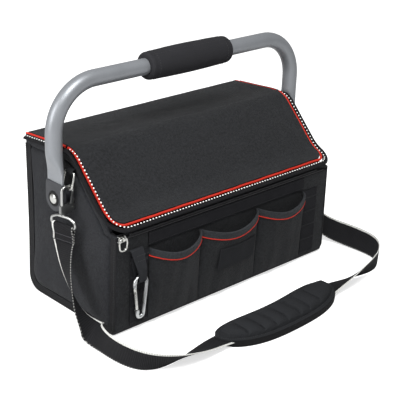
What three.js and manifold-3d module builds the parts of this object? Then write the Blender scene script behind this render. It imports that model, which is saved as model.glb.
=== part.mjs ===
// A tool bag with a zipped lid, a swinging tube handle, three front pockets,
// a carabiner on a webbing loop, and a padded shoulder strap on two snap hooks.
// Millimetres, +Z up. The origin is the middle of the base, the front is at -Y.
import * as THREE from "three";
import { mergeVertices } from "three/addons/utils/BufferGeometryUtils.js";
import Module from "manifold-3d";

const wasm = await Module();
wasm.setup();

// Clearances
const SEAM_GAP = 0.3; // pieces sewn or seated on each other
const RUN_GAP = 0.4; // pieces that move on each other

// Bag body, a foam-lined fabric box
const BAG_LENGTH = 458; // over the end panels at the base
const BAG_DEPTH = 210;
const END_LEAN = 0.0153; // share by which the length narrows from base to lid
const WALL = 3;
const BASE_BOARD = 4;
const BACK_FOOT_RADIUS = 25;
const FRONT_FOOT_RADIUS = 8;

// Lid, whose top line runs from the back over the ridge to the front edge
const LID_BACK_HEIGHT = 256;
const RIDGE_Y = -1;
const RIDGE_HEIGHT = 258.5;
const RIDGE_RADIUS = 35;
const KNEE_Y = -73;
const KNEE_HEIGHT = 184;
const KNEE_RADIUS = 60;
const LID_LIP_DROP = 14.5; // from the knee down to the front edge
const LID_LIP_REACH = 3; // of the lid's line past the front wall
const LID_SHEET = 3;
const FOLD_Y = 14; // crease where the front half folds on the rear half
const LID_CORNER_RADIUS = 18;
const LID_SET_IN = 4; // piping line inside the end panels
const PIPING = 4; // diameter
const HEM_WIDTH = 7.2; // rolled hem outside the piping
const HEM_THICK = 4;
const HEM_OUT = 5.2; // hem centre outside the piping's line
const REAR_HEM_STOP = 6; // short of the back edge, so that the handle's bends pass behind it
const HEM_DROP = 4.3;
const HEM_SLANT = 50; // degrees down from level
const FOLD_RELIEF = 2; // the trims stop this far from the crease

// Bound edge of each end panel
const BINDING_WIDTH = 13;
const BINDING_THICK = 2.2;

// Front trims
const TRIM_THICK = 1.6;
const BAND_LOW = 128;
const BAND_HIGH = 151.5;
const LADDER_WIDTH = 33;
const LADDER_HEIGHT = 127;
const TRIM_FOOT = 3; // trims and pockets start this far above the floor

// Pockets, from left to right
const POCKET_WIDTHS = { left: 102, centre: 124, right: 110 };
const POCKET_HEIGHT = 130;
const POCKET_BULGE = 26;
const POCKET_FOOT_BULGE = 1.5;
const POCKET_DIP = 12;
const POCKET_CLOTH = 2;
const POCKET_BINDING = 11;
const POCKET_BINDING_THICK = 1;
const PATCH_WIDTH = 84;
const PATCH_HEIGHT = 38;
const PATCH_TOP = 90;
const PATCH_FROM_SEAM = 10; // clear of the centre pocket's right seam
const PATCH_THICK = 0.8;

// Zip along the front edge
const TOOTH_PITCH = 12;
const TOOTH_HEIGHT = 3;
const TOOTH_DEPTH = 3;
const TAPE_THICK = 0.7;
const ZIP_HEIGHT = 156.8; // where the two rows meet
const SLIDER_LENGTH = 13;
const SLIDER_REST_GAP = 7.5; // from the upper row's end to the slider at rest
const LOWER_ROW_SET_IN = 3.5; // from the bag's ends to the lower row's ends
const SLIDER_FLANGE = 1;
const SLIDER_FACE = 1.4;
const BRIDGE_REACH = 4;
const BRIDGE_WIDTH = 5;
const PULLER_WIDTH = 17;
const PULLER_HEIGHT = 21;
const PULLER_WIRE = 2.6;

// Handle, one bent tube whose ends are pressed flat
const TUBE = 25; // outside diameter
const TUBE_WALL = 1.5;
const TUBE_SIDE_GAP = 6.5; // between the end panels at the base and the tube
const HANDLE_Y = 10;
const HANDLE_HEIGHT = 355; // centre line of the top bar
const HANDLE_BEND = 72;
const PIVOT_HEIGHT = 187;
const FLAT_HALF = 17.8;
const FLAT_THICK = 5;
const FLAT_SET_IN = 2.5; // the flat lies this far inboard of the tube's axis
const FLAT_TOP = 222;
const ROUND_FROM = 262;
const CAP_WALL = 1.5;
const CAP_TOP = 213;
const GRIP_LENGTH = 167;
const GRIP_DIAMETER = 46; // at its thickest, in the middle
const GRIP_TAPER = 3; // how much the diameter falls towards the ends
const GRIP_SHIFT = 4.5; // the grip sits this far right of the middle
const GRIP_ROUND = 8; // radius of the grip's ends
const RIVET_SHANK = 8;
const RIVET_HEAD = 15;
const RIVET_HEAD_HEIGHT = 3;
const SPACER_DIAMETER = 24;
const PLATE_THICK = 2;
const PLATE_WIDTH = 50;

// D-rings on their webbing tabs
const RING_Y = -7;
const RING_WIRE = 3.6;
const RING_HALF = 10.8; // centre line
const RING_DROP = 24.7;
const RING_BAR_HEIGHT = 229.5;
const RING_BAR_OUT = 3.5; // the bar's axis outside the end panels at the base
const RING_TILT = 13.3; // degrees
const TAB_WIDTH = 14;
const TAB_THICK = 1;
const TAB_RISE = 5.3;

// Snap hooks
const HOOK_Y = -13;
const HOOK_WIRE = 4.4;
const HOOK_SPINE = 23; // outside the end panels at the base
const HOOK_NOSE = 4;
const HOOK_TOP = 211.2;
const NOSE_END = 202.8;
const HOOK_BLOCK_LOW = 170;
const HOOK_BLOCK_HIGH = 184;
const HOOK_BLOCK_THICK = 5.4;
const GATE_PIN_HEIGHT = 179.5;
const GATE_PIN = 2.2;
const GATE_THICK = 2.4;
const SWIVEL_OUT = 21;
const EYE_TURN = 13; // degrees that each eye is turned on its swivel, its back end outwards
const STEM = 4.6;
const EYE_WIRE = 4;
const EYE_HALF = 22;
const EYE_BAR_HEIGHT = 152;
const EYE_TOP_HEIGHT = 166.5;

// Carabiner on its webbing loop
const CARABINER_Y_GAP = 3.9; // between the ladder webbing and the wire
const CARABINER_WIRE = 6;
const CARABINER_TOP = 90.5; // centre line
const CARABINER_LOW = 24.5;
const CARABINER_TOP_HALF = 12.5;
const CARABINER_LOW_HALF = 5;
const CARABINER_TOP_RADIUS = 11.5;
const GATE_LOW = 37;
const GATE_HIGH = 74;
const GATE_ROD = 5;
const GATE_FOOT_GAP = 1.2; // the rod's foot drops as the gate swings in
const LOOP_TOP = 134;
const LOOP_WIDTH = 24;
const LOOP_FOOT_WIDTH = 14;
const LOOP_THICK = 1.2;
const LOOP_SKEW = 9;
const LOOP_BOTTOM_PLAY = 4.8; // under the wire, whose bow drops inside the loop

// Shoulder strap and its pad
const WEBBING = 38;
const WEBBING_THICK = 1.6;
const FOLD_BOTTOM = 128; // sewn end of the strap's turn round each eye
const PAD_X = 1.5;
const PAD_Y = -227.5;
const PAD_LENGTH = 257;
const PAD_BOW = 16; // both ends sit this far behind the middle
const PAD_SKEW = 4; // and the right end this much more, the left end this much less
const PAD_HALF_WIDTH = 35;
const PAD_WAIST = 2.5;
const PAD_FLANGE = 7.5; // flat rim round the crown
const PAD_FLANGE_THICK = 4;
const PAD_CROWN = 12;
const PAD_SEAMS = 7; // sewn across the crown
const PAD_SEAM_PITCH = 26;
const PAD_FIRST_SEAM = -90.5; // from the pad's middle
const PAD_SEAM_DEPTH = 3;
const PAD_BACKING = 4.2;

const DEGREE = Math.PI / 180;
const halfLength = BAG_LENGTH / 2;
const halfDepth = BAG_DEPTH / 2;
const lidFrontY = -halfDepth - LID_LIP_REACH;
const lidFrontHeight = KNEE_HEIGHT - LID_LIP_DROP;

const FINISHES = {
  fabric: { color: 0x2c2e30, roughness: 0.9, metalness: 0 },
  webbing: { color: 0x1c1d1e, roughness: 0.85, metalness: 0 },
  piping: { color: 0xcd372d, roughness: 0.6, metalness: 0 },
  plastic: { color: 0x4a4c4e, roughness: 0.5, metalness: 0 },
  tube: { color: 0x8c9498, roughness: 0.35, metalness: 0.7 },
  foam: { color: 0x222324, roughness: 0.95, metalness: 0 },
  nickel: { color: 0xd4d0c6, roughness: 0.25, metalness: 1 },
};

// Geometry helpers

const vec = (x, y, z) => new THREE.Vector3(x, y, z);

// The points of a path whose corners [x, y, z, radius] are rounded by arcs.
function roundedPath(corners, closed = false, turn = 12) {
  const count = corners.length;
  const points = [];
  corners.forEach(([x, y, z, radius = 0], i) => {
    const here = vec(x, y, z);
    if (!radius || (!closed && (i === 0 || i === count - 1))) {
      points.push(here);
      return;
    }
    const toward = (k) => {
      const [a, b, c] = corners[(k + count) % count];
      return vec(a, b, c).sub(here).normalize();
    };
    const back = toward(i - 1);
    const on = toward(i + 1);
    const half = back.angleTo(on) / 2;
    const centre = here.clone().addScaledVector(back.clone().add(on).normalize(), radius / Math.sin(half));
    const arm = here.clone().addScaledVector(back, radius / Math.tan(half)).sub(centre);
    const axis = on.clone().cross(back).normalize();
    const sweepAngle = Math.PI - 2 * half;
    const steps = Math.max(2, Math.ceil(sweepAngle / (turn * DEGREE)));
    for (let k = 0; k <= steps; k++) {
      points.push(arm.clone().applyAxisAngle(axis, (sweepAngle * k) / steps).add(centre));
    }
  });
  return points;
}

// A closed flat outline whose corners are [u, v, radius].
const outline = (corners, turn) =>
  roundedPath(corners.map(([u, v, r]) => [u, v, 0, r]), true, turn).map((p) => [p.x, p.y]);

// The same geometry with its faces turned outwards.
function outward(geometry) {
  const p = geometry.attributes.position;
  const index = geometry.index.array;
  const corner = [vec(), vec(), vec()];
  let volume = 0;
  for (let i = 0; i < index.length; i += 3) {
    corner.forEach((c, k) => c.fromBufferAttribute(p, index[i + k]));
    volume += corner[0].dot(corner[1].clone().cross(corner[2]));
  }
  if (volume < 0) {
    for (let i = 0; i < index.length; i += 3) {
      [index[i], index[i + 1]] = [index[i + 1], index[i]];
    }
  }
  return geometry;
}

// A skin through rings of points, closed on itself or capped at both ends. The two faces of a thin
// twisted strip are split along the same diagonals, so that they don't cross each other.
function skin(rings, closed = false, twisted = false) {
  const around = rings[0].length;
  const positions = rings.flat().flatMap((p) => [p.x, p.y, p.z]);
  const index = [];
  const last = closed ? rings.length : rings.length - 1;
  for (let i = 0; i < last; i++) {
    const near = i * around;
    const far = ((i + 1) % rings.length) * around;
    for (let k = 0; k < around; k++) {
      const next = (k + 1) % around;
      const [a, b, c, d] = [near + k, near + next, far + next, far + k];
      index.push(...(twisted && k >= around / 2 ? [a, b, d, b, c, d] : [a, b, c, a, c, d]));
    }
  }
  if (!closed) {
    index.push(...capFaces(around, 0, true));
    index.push(...capFaces(around, (rings.length - 1) * around, false));
  }
  const geometry = new THREE.BufferGeometry();
  geometry.setAttribute("position", new THREE.Float32BufferAttribute(positions, 3));
  geometry.setIndex(index);
  return outward(geometry);
}

// Triangles that close one convex or two-layered ring, each point joined to the one across from it.
function capFaces(count, offset, against) {
  const faces = [];
  for (let k = 0; k < Math.ceil(count / 2) - 1; k++) {
    const across = count - 1 - k;
    faces.push([k, k + 1, across]);
    if (k + 1 < across - 1) faces.push([k + 1, across - 1, across]);
  }
  return faces.flatMap((face) => (against ? face.reverse() : face).map((i) => i + offset));
}

const roundSection = (radius, sides) =>
  Array.from({ length: sides }, (_, k) => {
    const a = ((k + 0.5) * 2 * Math.PI) / sides;
    return [radius * Math.cos(a), radius * Math.sin(a)];
  });

const stadiumSection = (width, thick, steps = 3) => {
  const straight = (width - thick) / 2;
  return Array.from({ length: 2 * (steps + 1) }, (_, k) => {
    const far = k > steps;
    const a = (-90 + (180 * (k % (steps + 1))) / steps + (far ? 180 : 0)) * DEGREE;
    return [(far ? -straight : straight) + (thick / 2) * Math.cos(a), (thick / 2) * Math.sin(a)];
  });
};

// A section swept along a path. across(i) is the section's first direction at point i.
function sweep(path, section, across, closed = false, twisted = false) {
  const count = path.length;
  const rings = path.map((p, i) => {
    const before = path[closed ? (i + count - 1) % count : Math.max(0, i - 1)];
    const after = path[closed ? (i + 1) % count : Math.min(count - 1, i + 1)];
    const tangent = after.clone().sub(before).normalize();
    const u = across(i).clone().addScaledVector(tangent, -across(i).dot(tangent)).normalize();
    const v = tangent.cross(u);
    const shape = typeof section === "function" ? section(i) : section;
    return shape.map(([a, b]) => p.clone().addScaledVector(u, a).addScaledVector(v, b));
  });
  return skin(rings, closed, twisted);
}

const wire = (path, diameter, normal, closed = false, sides = 8) =>
  sweep(path, roundSection(diameter / 2, sides), () => normal, closed);

const shapeOf = (points, holes) => {
  const shape = new THREE.Shape(points.map(([u, v]) => new THREE.Vector2(u, v)));
  shape.holes = holes.map((hole) => new THREE.Path(hole.map(([u, v]) => new THREE.Vector2(u, v))));
  return shape;
};

const extruded = (points, depth, holes) =>
  new THREE.ExtrudeGeometry(shapeOf(points, holes), { depth, bevelEnabled: false });

// An outline in (y, z), run from one x to another.
const alongX = (points, from, to, holes = []) =>
  extruded(points, to - from, holes).applyMatrix4(
    new THREE.Matrix4().set(0, 0, 1, from, 1, 0, 0, 0, 0, 1, 0, 0, 0, 0, 0, 1),
  );

// An outline in (x, z), run from one y to another.
const alongY = (points, from, to, holes = []) =>
  extruded(points, to - from, holes).applyMatrix4(
    new THREE.Matrix4().set(1, 0, 0, 0, 0, 0, -1, to, 0, 1, 0, 0, 0, 0, 0, 1),
  );

const circle = (u, v, radius, sides = 20) => roundSection(radius, sides).map(([a, b]) => [u + a, v + b]);

const box = (low, high) =>
  alongX([[low[1], low[2]], [high[1], low[2]], [high[1], high[2]], [low[1], high[2]]], low[0], high[0]);

const rodX = (y, z, radius, from, to, sides) => alongX(circle(y, z, radius, sides), from, to);
const rodY = (x, z, radius, from, to, sides) => alongY(circle(x, z, radius, sides), from, to);

// A profile of [x, radius] turned about the line through (y, z) along X.
function turnedX(profile, y, z, sides = 24) {
  const points = profile.map(([x, radius]) => new THREE.Vector2(radius, x));
  const geometry = new THREE.LatheGeometry(points, sides);
  geometry.applyMatrix4(new THREE.Matrix4().set(0, 1, 0, 0, 0, 0, 1, y, 1, 0, 0, z, 0, 0, 0, 1));
  return outward(bare(geometry));
}

function bare(geometry) {
  const plain = geometry.clone();
  plain.deleteAttribute("normal");
  plain.deleteAttribute("uv");
  return mergeVertices(plain, 1e-4);
}

function solidOf(geometry) {
  const merged = bare(geometry);
  return new wasm.Manifold(
    new wasm.Mesh({
      numProp: 3,
      vertProperties: merged.attributes.position.array,
      triVerts: new Uint32Array(merged.index.array),
    }),
  );
}

function geometryOf(solid) {
  const mesh = solid.getMesh();
  const geometry = new THREE.BufferGeometry();
  geometry.setAttribute("position", new THREE.Float32BufferAttribute(mesh.vertProperties, 3));
  geometry.setIndex([...mesh.triVerts]);
  return geometry;
}

const cut = (body, ...tools) =>
  geometryOf(tools.reduce((rest, tool) => rest.subtract(solidOf(tool)), solidOf(body)));

const joined = (first, ...others) =>
  geometryOf(others.reduce((all, other) => all.add(solidOf(other)), solidOf(first)));

const mirrored = (geometry) => outward(bare(geometry.clone().scale(-1, 1, 1)));

// Narrows the bag's walls towards the lid, as its ends lean in.
function leaned(geometry) {
  const p = geometry.attributes.position;
  for (let i = 0; i < p.count; i++) {
    p.setX(i, p.getX(i) * (1 - (END_LEAN * p.getZ(i)) / LID_BACK_HEIGHT));
  }
  return geometry;
}

const leanedX = (x, z) => x * (1 - (END_LEAN * z) / LID_BACK_HEIGHT);

// Scene

const bag = new THREE.Group();
bag.name = "tool_bag";

function group(parent = bag) {
  const made = new THREE.Group();
  parent.add(made);
  return made;
}

function add(parent, name, finish, geometry) {
  const mesh = new THREE.Mesh(geometry, new THREE.MeshStandardMaterial(FINISHES[finish]));
  mesh.name = name;
  parent.add(mesh);
}

// The right-hand piece as it is built, and its mirror image on the left.
function addPair(parent, name, finish, geometry) {
  add(parent, "right_" + name, finish, geometry);
  add(parent, "left_" + name, finish, mirrored(geometry));
}

// The lid's top line and everything that follows it

const lidLine = roundedPath(
  [
    [0, halfDepth + 1, LID_BACK_HEIGHT],
    [0, RIDGE_Y, RIDGE_HEIGHT, RIDGE_RADIUS],
    [0, KNEE_Y, KNEE_HEIGHT, KNEE_RADIUS],
    [0, lidFrontY, lidFrontHeight],
  ],
  false,
  4,
);

function lidHeight(y) {
  const i = Math.max(1, lidLine.findIndex((p) => p.y <= y));
  const [a, b] = lidLine[i].y <= y ? [lidLine[i - 1], lidLine[i]] : lidLine.slice(-2);
  return a.z + ((b.z - a.z) * (y - a.y)) / (b.y - a.y);
}

// The point [y, z] that lies a given depth under the lid's top line.
function underLid(y, depth) {
  const slope = lidHeight(y + 0.5) - lidHeight(y - 0.5);
  const length = Math.hypot(1, slope);
  return [y + (depth * slope) / length, lidHeight(y) - depth / length];
}

const span = (from, to, steps) => Array.from({ length: steps + 1 }, (_, k) => from + ((to - from) * k) / steps);

// Body

function buildBody(parent) {
  const inner = halfLength - WALL - SEAM_GAP;
  const wallTop = LID_SHEET + 0.8;
  const endTop = span(halfDepth, -halfDepth, 28).map((y) => underLid(y, wallTop));
  const frontTop = lidFrontHeight - HEM_DROP - HEM_THICK;
  const notchY = -halfDepth + LID_CORNER_RADIUS;
  const backTop = lidHeight(halfDepth) - wallTop;

  const base = alongX(
    outline([
      [-halfDepth + FRONT_FOOT_RADIUS + SEAM_GAP, 0],
      [halfDepth - BACK_FOOT_RADIUS - SEAM_GAP, 0],
      [halfDepth - BACK_FOOT_RADIUS - SEAM_GAP, BASE_BOARD],
      [-halfDepth + FRONT_FOOT_RADIUS + SEAM_GAP, BASE_BOARD],
    ]),
    -inner,
    inner,
  );
  add(parent, "base_panel", "fabric", leaned(base));

  // A wall that turns under the bag at its foot.
  const wall = (side, top, radius) =>
    leaned(
      alongX(
        outline([
          [side * halfDepth, top],
          [side * halfDepth, 0, radius],
          [side * (halfDepth - radius), 0],
          [side * (halfDepth - radius), WALL],
          [side * (halfDepth - WALL), WALL, radius - WALL],
          [side * (halfDepth - WALL), top],
        ]),
        -inner,
        inner,
      ),
    );
  add(parent, "front_panel", "fabric", wall(-1, frontTop, FRONT_FOOT_RADIUS));
  add(parent, "back_panel", "fabric", wall(1, backTop, BACK_FOOT_RADIUS));

  const endOutline = outline([
    [-halfDepth, 0, FRONT_FOOT_RADIUS],
    [halfDepth, 0, BACK_FOOT_RADIUS],
    ...endTop.filter(([y]) => y < halfDepth - 1 && y > notchY + 3),
    [notchY, underLid(notchY, wallTop)[1]],
    [notchY, frontTop],
    [-halfDepth, frontTop],
  ]);
  const rivetHole = circle(HANDLE_Y, PIVOT_HEIGHT, RIVET_SHANK / 2 + SEAM_GAP).reverse();
  addPair(parent, "end_panel", "fabric", leaned(alongX(endOutline, halfLength - WALL, halfLength, [rivetHole])));

  const frontBindingTop = lidFrontHeight - HEM_DROP - HEM_WIDTH;
  const backBindingTop = LID_BACK_HEIGHT - HEM_DROP - HEM_WIDTH;
  const within = halfDepth - BINDING_WIDTH;
  const binding = alongX(
    outline([
      [-halfDepth, frontBindingTop],
      [-halfDepth, 0, FRONT_FOOT_RADIUS],
      [halfDepth, 0, BACK_FOOT_RADIUS],
      [halfDepth, backBindingTop],
      [within, backBindingTop],
      [within, BINDING_WIDTH, BACK_FOOT_RADIUS - BINDING_WIDTH],
      [-within, BINDING_WIDTH, 2],
      [-within, frontBindingTop],
    ]),
    halfLength + SEAM_GAP,
    halfLength + SEAM_GAP + BINDING_THICK,
  );
  addPair(parent, "end_binding", "fabric", leaned(binding));
}

// Lid

// Widths and heights of the lid's trims, which follow its plan with rounded front corners.
function lidTrim(section, out, drop, across, fromFold, toFold) {
  const half = halfLength - LID_SET_IN + out;
  const front = -halfDepth - out;
  const radius = LID_CORNER_RADIUS + out;
  const plan = roundedPath(
    [
      [-half, fromFold, 0],
      [-half, front, 0, radius],
      [half, front, 0, radius],
      [half, toFold, 0],
    ],
    false,
    15,
  );
  const path = plan.flatMap((p, i) => {
    if (i === plan.length - 1) return [p];
    const next = plan[i + 1];
    const steps = Math.max(1, Math.round(Math.abs(next.y - p.y) / 9));
    return span(0, 1, steps).slice(0, -1).map((t) => p.clone().lerp(next, t));
  });
  path.forEach((p) => p.setZ(lidHeight(Math.max(p.y, lidFrontY)) - drop));
  return sweep(path, section, (i) => across(path[i]));
}

// The direction out of the lid's edge at a point of its plan, slanting down.
function outOfLid(p) {
  const cornerX = halfLength - LID_SET_IN - LID_CORNER_RADIUS;
  const cornerY = -halfDepth + LID_CORNER_RADIUS;
  const out = vec(
    Math.abs(p.x) > cornerX ? p.x - Math.sign(p.x) * cornerX : 0,
    p.y < cornerY ? p.y - cornerY : 0,
    0,
  );
  return out.normalize().multiplyScalar(Math.cos(HEM_SLANT * DEGREE)).setZ(-Math.sin(HEM_SLANT * DEGREE));
}

function buildLid(front, rear) {
  const half = halfLength - LID_SET_IN - PIPING / 2 - SEAM_GAP - 0.3;
  const frontEdge = -halfDepth + PIPING / 2 + SEAM_GAP + 0.3;
  const corner = LID_CORNER_RADIUS - PIPING / 2;

  // One row of the sheet: its full width at one place on the lid's line.
  const row = (y) => {
    const inside = Math.min(corner, y - frontEdge);
    const width = half - corner + Math.sqrt(Math.max(0, corner ** 2 - (corner - inside) ** 2));
    const [lowY, lowZ] = underLid(y, LID_SHEET);
    return [
      vec(-width, y, lidHeight(y)),
      vec(width, y, lidHeight(y)),
      vec(width, lowY, lowZ),
      vec(-width, lowY, lowZ),
    ];
  };
  const cornerRows = span(90, 0, 6).map((a) => frontEdge + corner * (1 - Math.sin(a * DEGREE)));
  const frontRows = [...span(FOLD_Y - RUN_GAP, frontEdge + corner + 4, 15), ...cornerRows.reverse()];
  const flatRow = (y) => {
    const points = row(y);
    points[2].setY(y);
    points[3].setY(y);
    return points;
  };
  add(front, "lid_front_panel", "fabric", skin([flatRow(FOLD_Y - RUN_GAP), ...frontRows.slice(1).map(row)]));
  add(rear, "lid_rear_panel", "fabric", skin([halfDepth - RUN_GAP, 60, FOLD_Y + RUN_GAP].map(flatRow)));

  const pipingSection = roundSection(PIPING / 2, 8);
  const up = () => vec(0, 0, 1);
  const hemSection = stadiumSection(HEM_WIDTH, HEM_THICK);
  const start = FOLD_Y - FOLD_RELIEF;
  add(front, "lid_front_piping", "piping", lidTrim(pipingSection, 0, 0.8, up, start, start));
  add(front, "lid_front_hem", "fabric", lidTrim(hemSection, HEM_OUT, HEM_DROP, outOfLid, start, start));

  // The rear half's trims run straight along each end.
  const rearPath = (x, drop, stop = 0) =>
    span(FOLD_Y + FOLD_RELIEF, halfDepth - stop, 5).map((y) => vec(x, y, lidHeight(y) - drop));
  const side = halfLength - LID_SET_IN;
  addPair(rear, "rear_piping", "piping", sweep(rearPath(side, 0.8), pipingSection, up));
  const down = vec(Math.cos(HEM_SLANT * DEGREE), 0, -Math.sin(HEM_SLANT * DEGREE));
  const hemPath = rearPath(side + HEM_OUT, HEM_DROP, REAR_HEM_STOP);
  addPair(rear, "rear_hem", "fabric", sweep(hemPath, hemSection, () => down));
}

// Front trims and pockets

const pocketRun = POCKET_WIDTHS.left + POCKET_WIDTHS.centre + POCKET_WIDTHS.right;
const trimBack = -halfDepth - SEAM_GAP;
const ladderCentre = pocketRun / 2 + 1.5 + LADDER_WIDTH / 2;

function buildFrontTrims(parent) {
  const half = pocketRun / 2;
  add(
    parent,
    "front_band",
    "webbing",
    box([-half, trimBack - TRIM_THICK, BAND_LOW + 3], [half, trimBack, BAND_HIGH]),
  );
  addPair(
    parent,
    "ladder_webbing",
    "webbing",
    box(
      [ladderCentre - LADDER_WIDTH / 2, trimBack - TRIM_THICK, TRIM_FOOT + FRONT_FOOT_RADIUS],
      [ladderCentre + LADDER_WIDTH / 2, trimBack, LADDER_HEIGHT],
    ),
  );
}

// How far a pocket stands off the wall at a share of its width and a height.
const pocketStand = (share, z) => {
  const rise = POCKET_FOOT_BULGE + ((POCKET_BULGE - POCKET_FOOT_BULGE) * z) / POCKET_HEIGHT;
  return rise * Math.sin(Math.PI * share) ** 0.55;
};
const pocketTop = (share) => POCKET_HEIGHT - 3 - POCKET_DIP * Math.sin(Math.PI * share) ** 1.1;

// A layer of a pocket between two offsets from its inner face.
function pocketLayer(x0, width, shares, inside, outside, low, high, rows) {
  const rings = shares.map((share) => {
    const heights = span(low(share), high(share), rows);
    const at = (offset, z) =>
      vec(x0 + width * share, trimBack - offset - pocketStand(share, Math.min(z, POCKET_HEIGHT)), z);
    return [...heights.map((z) => at(outside, z)), ...heights.reverse().map((z) => at(inside, z))];
  });
  return skin(rings);
}

function buildPockets(parent) {
  const shares = span(0, 1, 16).map((t) => 0.5 - 0.5 * Math.cos(Math.PI * t));
  const bindingInside = POCKET_CLOTH + SEAM_GAP;
  let x0 = -pocketRun / 2;
  for (const [name, width] of Object.entries(POCKET_WIDTHS)) {
    const start = x0 + SEAM_GAP;
    const across = width - 2 * SEAM_GAP;
    const floor = () => TRIM_FOOT + FRONT_FOOT_RADIUS;
    add(
      parent,
      "pocket_" + name,
      "fabric",
      pocketLayer(start, across, shares, 0, POCKET_CLOTH, floor, pocketTop, 4),
    );
    add(
      parent,
      "pocket_" + name + "_binding",
      "webbing",
      pocketLayer(
        start,
        across,
        shares,
        bindingInside,
        bindingInside + POCKET_BINDING_THICK,
        (share) => pocketTop(share) - POCKET_BINDING,
        pocketTop,
        1,
      ),
    );
    if (name === "centre") {
      const right = 1 - PATCH_FROM_SEAM / across;
      const left = right - PATCH_WIDTH / across;
      add(
        parent,
        "pocket_patch",
        "webbing",
        pocketLayer(
          start,
          across,
          span(left, right, 8),
          bindingInside,
          bindingInside + PATCH_THICK,
          () => PATCH_TOP - PATCH_HEIGHT,
          () => PATCH_TOP,
          1,
        ),
      );
    }
    x0 += width;
  }
}

// Zip

const teethBack = trimBack - TAPE_THICK;
const teethFront = teethBack - TOOTH_DEPTH;
const zipHalf = halfLength - LID_SET_IN - LID_CORNER_RADIUS;

// One row of teeth on its tape. The teeth point up on the lower row and down on the upper.
function zipRow(from, to, side, tapeReach) {
  const root = ZIP_HEIGHT - side * (TOOTH_HEIGHT + SEAM_GAP / 2);
  const tip = ZIP_HEIGHT - (side * SEAM_GAP) / 2;
  const valley = (root + tip) / 2;
  const count = Math.floor((to - from) / TOOTH_PITCH);
  const comb = [
    [from, root],
    [to, root],
  ];
  for (let k = count - 1; k >= 0; k--) {
    const x = from + k * TOOTH_PITCH;
    comb.push([x + TOOTH_PITCH * 0.8, valley], [x + TOOTH_PITCH * 0.7, tip]);
    comb.push([x + TOOTH_PITCH * 0.3, tip], [x + TOOTH_PITCH * 0.2, valley]);
  }
  comb[comb.length - 1][0] = from;
  comb[2][0] = to;
  const teeth = alongY(comb, teethFront, teethBack + 0.05);
  const [low, high] = side > 0 ? [root - tapeReach, valley] : [valley, root + tapeReach];
  return joined(teeth, box([from, teethBack, low], [to, trimBack, high]));
}

function buildZip(parent, lidFront) {
  const rowRoot = ZIP_HEIGHT - TOOTH_HEIGHT - SEAM_GAP / 2;
  const start = -zipHalf + 0.5;
  add(
    parent,
    "zip_lower_teeth",
    "plastic",
    zipRow(-halfLength + LOWER_ROW_SET_IN, halfLength - LOWER_ROW_SET_IN, 1, rowRoot - BAND_HIGH - SEAM_GAP),
  );
  add(lidFront, "zip_upper_teeth", "plastic", zipRow(start, zipHalf, -1, 2.5));

  // The slider straddles both rows. It waits past the upper row's end, so the lid lifts clear of it.
  const centre = start - SLIDER_REST_GAP - SLIDER_LENGTH / 2;
  const from = centre - SLIDER_LENGTH / 2;
  const to = centre + SLIDER_LENGTH / 2;
  const reach = TOOTH_HEIGHT + SEAM_GAP / 2 + RUN_GAP;
  const face = teethFront - RUN_GAP;
  const low = ZIP_HEIGHT - reach - SLIDER_FLANGE;
  const high = ZIP_HEIGHT + reach + SLIDER_FLANGE;
  const channel = alongX(
    [
      [face - SLIDER_FACE, low],
      [teethBack - SEAM_GAP, low],
      [teethBack - SEAM_GAP, ZIP_HEIGHT - reach],
      [face, ZIP_HEIGHT - reach],
      [face, ZIP_HEIGHT + reach],
      [teethBack - SEAM_GAP, ZIP_HEIGHT + reach],
      [teethBack - SEAM_GAP, high],
      [face - SLIDER_FACE, high],
    ],
    from,
    to,
  );
  const eyeY = face - SLIDER_FACE - BRIDGE_REACH / 2;
  const eyeZ = ZIP_HEIGHT + 1.4;
  const eye = PULLER_WIRE / 2 + RUN_GAP;
  const bridge = alongX(
    outline([
      [face - SLIDER_FACE + 0.2, eyeZ - eye - 1.1],
      [face - SLIDER_FACE + 0.2, eyeZ + eye + 1],
      [eyeY - eye - 1.1, eyeZ + eye + 1, 1.2],
      [eyeY - eye - 1.1, eyeZ - eye - 1.1, 1.2],
    ]),
    centre - BRIDGE_WIDTH / 2,
    centre + BRIDGE_WIDTH / 2,
    [circle(eyeY, eyeZ, eye + 0.3, 12).reverse()],
  );
  add(parent, "zip_slider", "nickel", joined(channel, bridge));

  const bar = PULLER_WIDTH / 2 - PULLER_WIRE / 2;
  const foot = eyeZ - PULLER_HEIGHT + PULLER_WIRE;
  const ring = roundedPath(
    [
      [centre - bar * 0.75, eyeY, eyeZ, 2.5],
      [centre + bar * 0.75, eyeY, eyeZ, 2.5],
      [centre + bar, eyeY, eyeZ - 7, 4],
      [centre + bar * 0.8, eyeY, foot, 5],
      [centre - bar * 0.8, eyeY, foot, 5],
      [centre - bar, eyeY, eyeZ - 7, 4],
    ],
    true,
    22,
  );
  add(parent, "zip_puller", "nickel", wire(ring, PULLER_WIRE, vec(0, 1, 0), true, 8));
}

// Handle

const armX = halfLength + TUBE_SIDE_GAP + TUBE / 2;
const flatX = armX - FLAT_SET_IN;
const capInner = flatX - FLAT_THICK / 2 - SEAM_GAP - CAP_WALL;
const capOuter = flatX + FLAT_THICK / 2 + SEAM_GAP + CAP_WALL;

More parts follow.
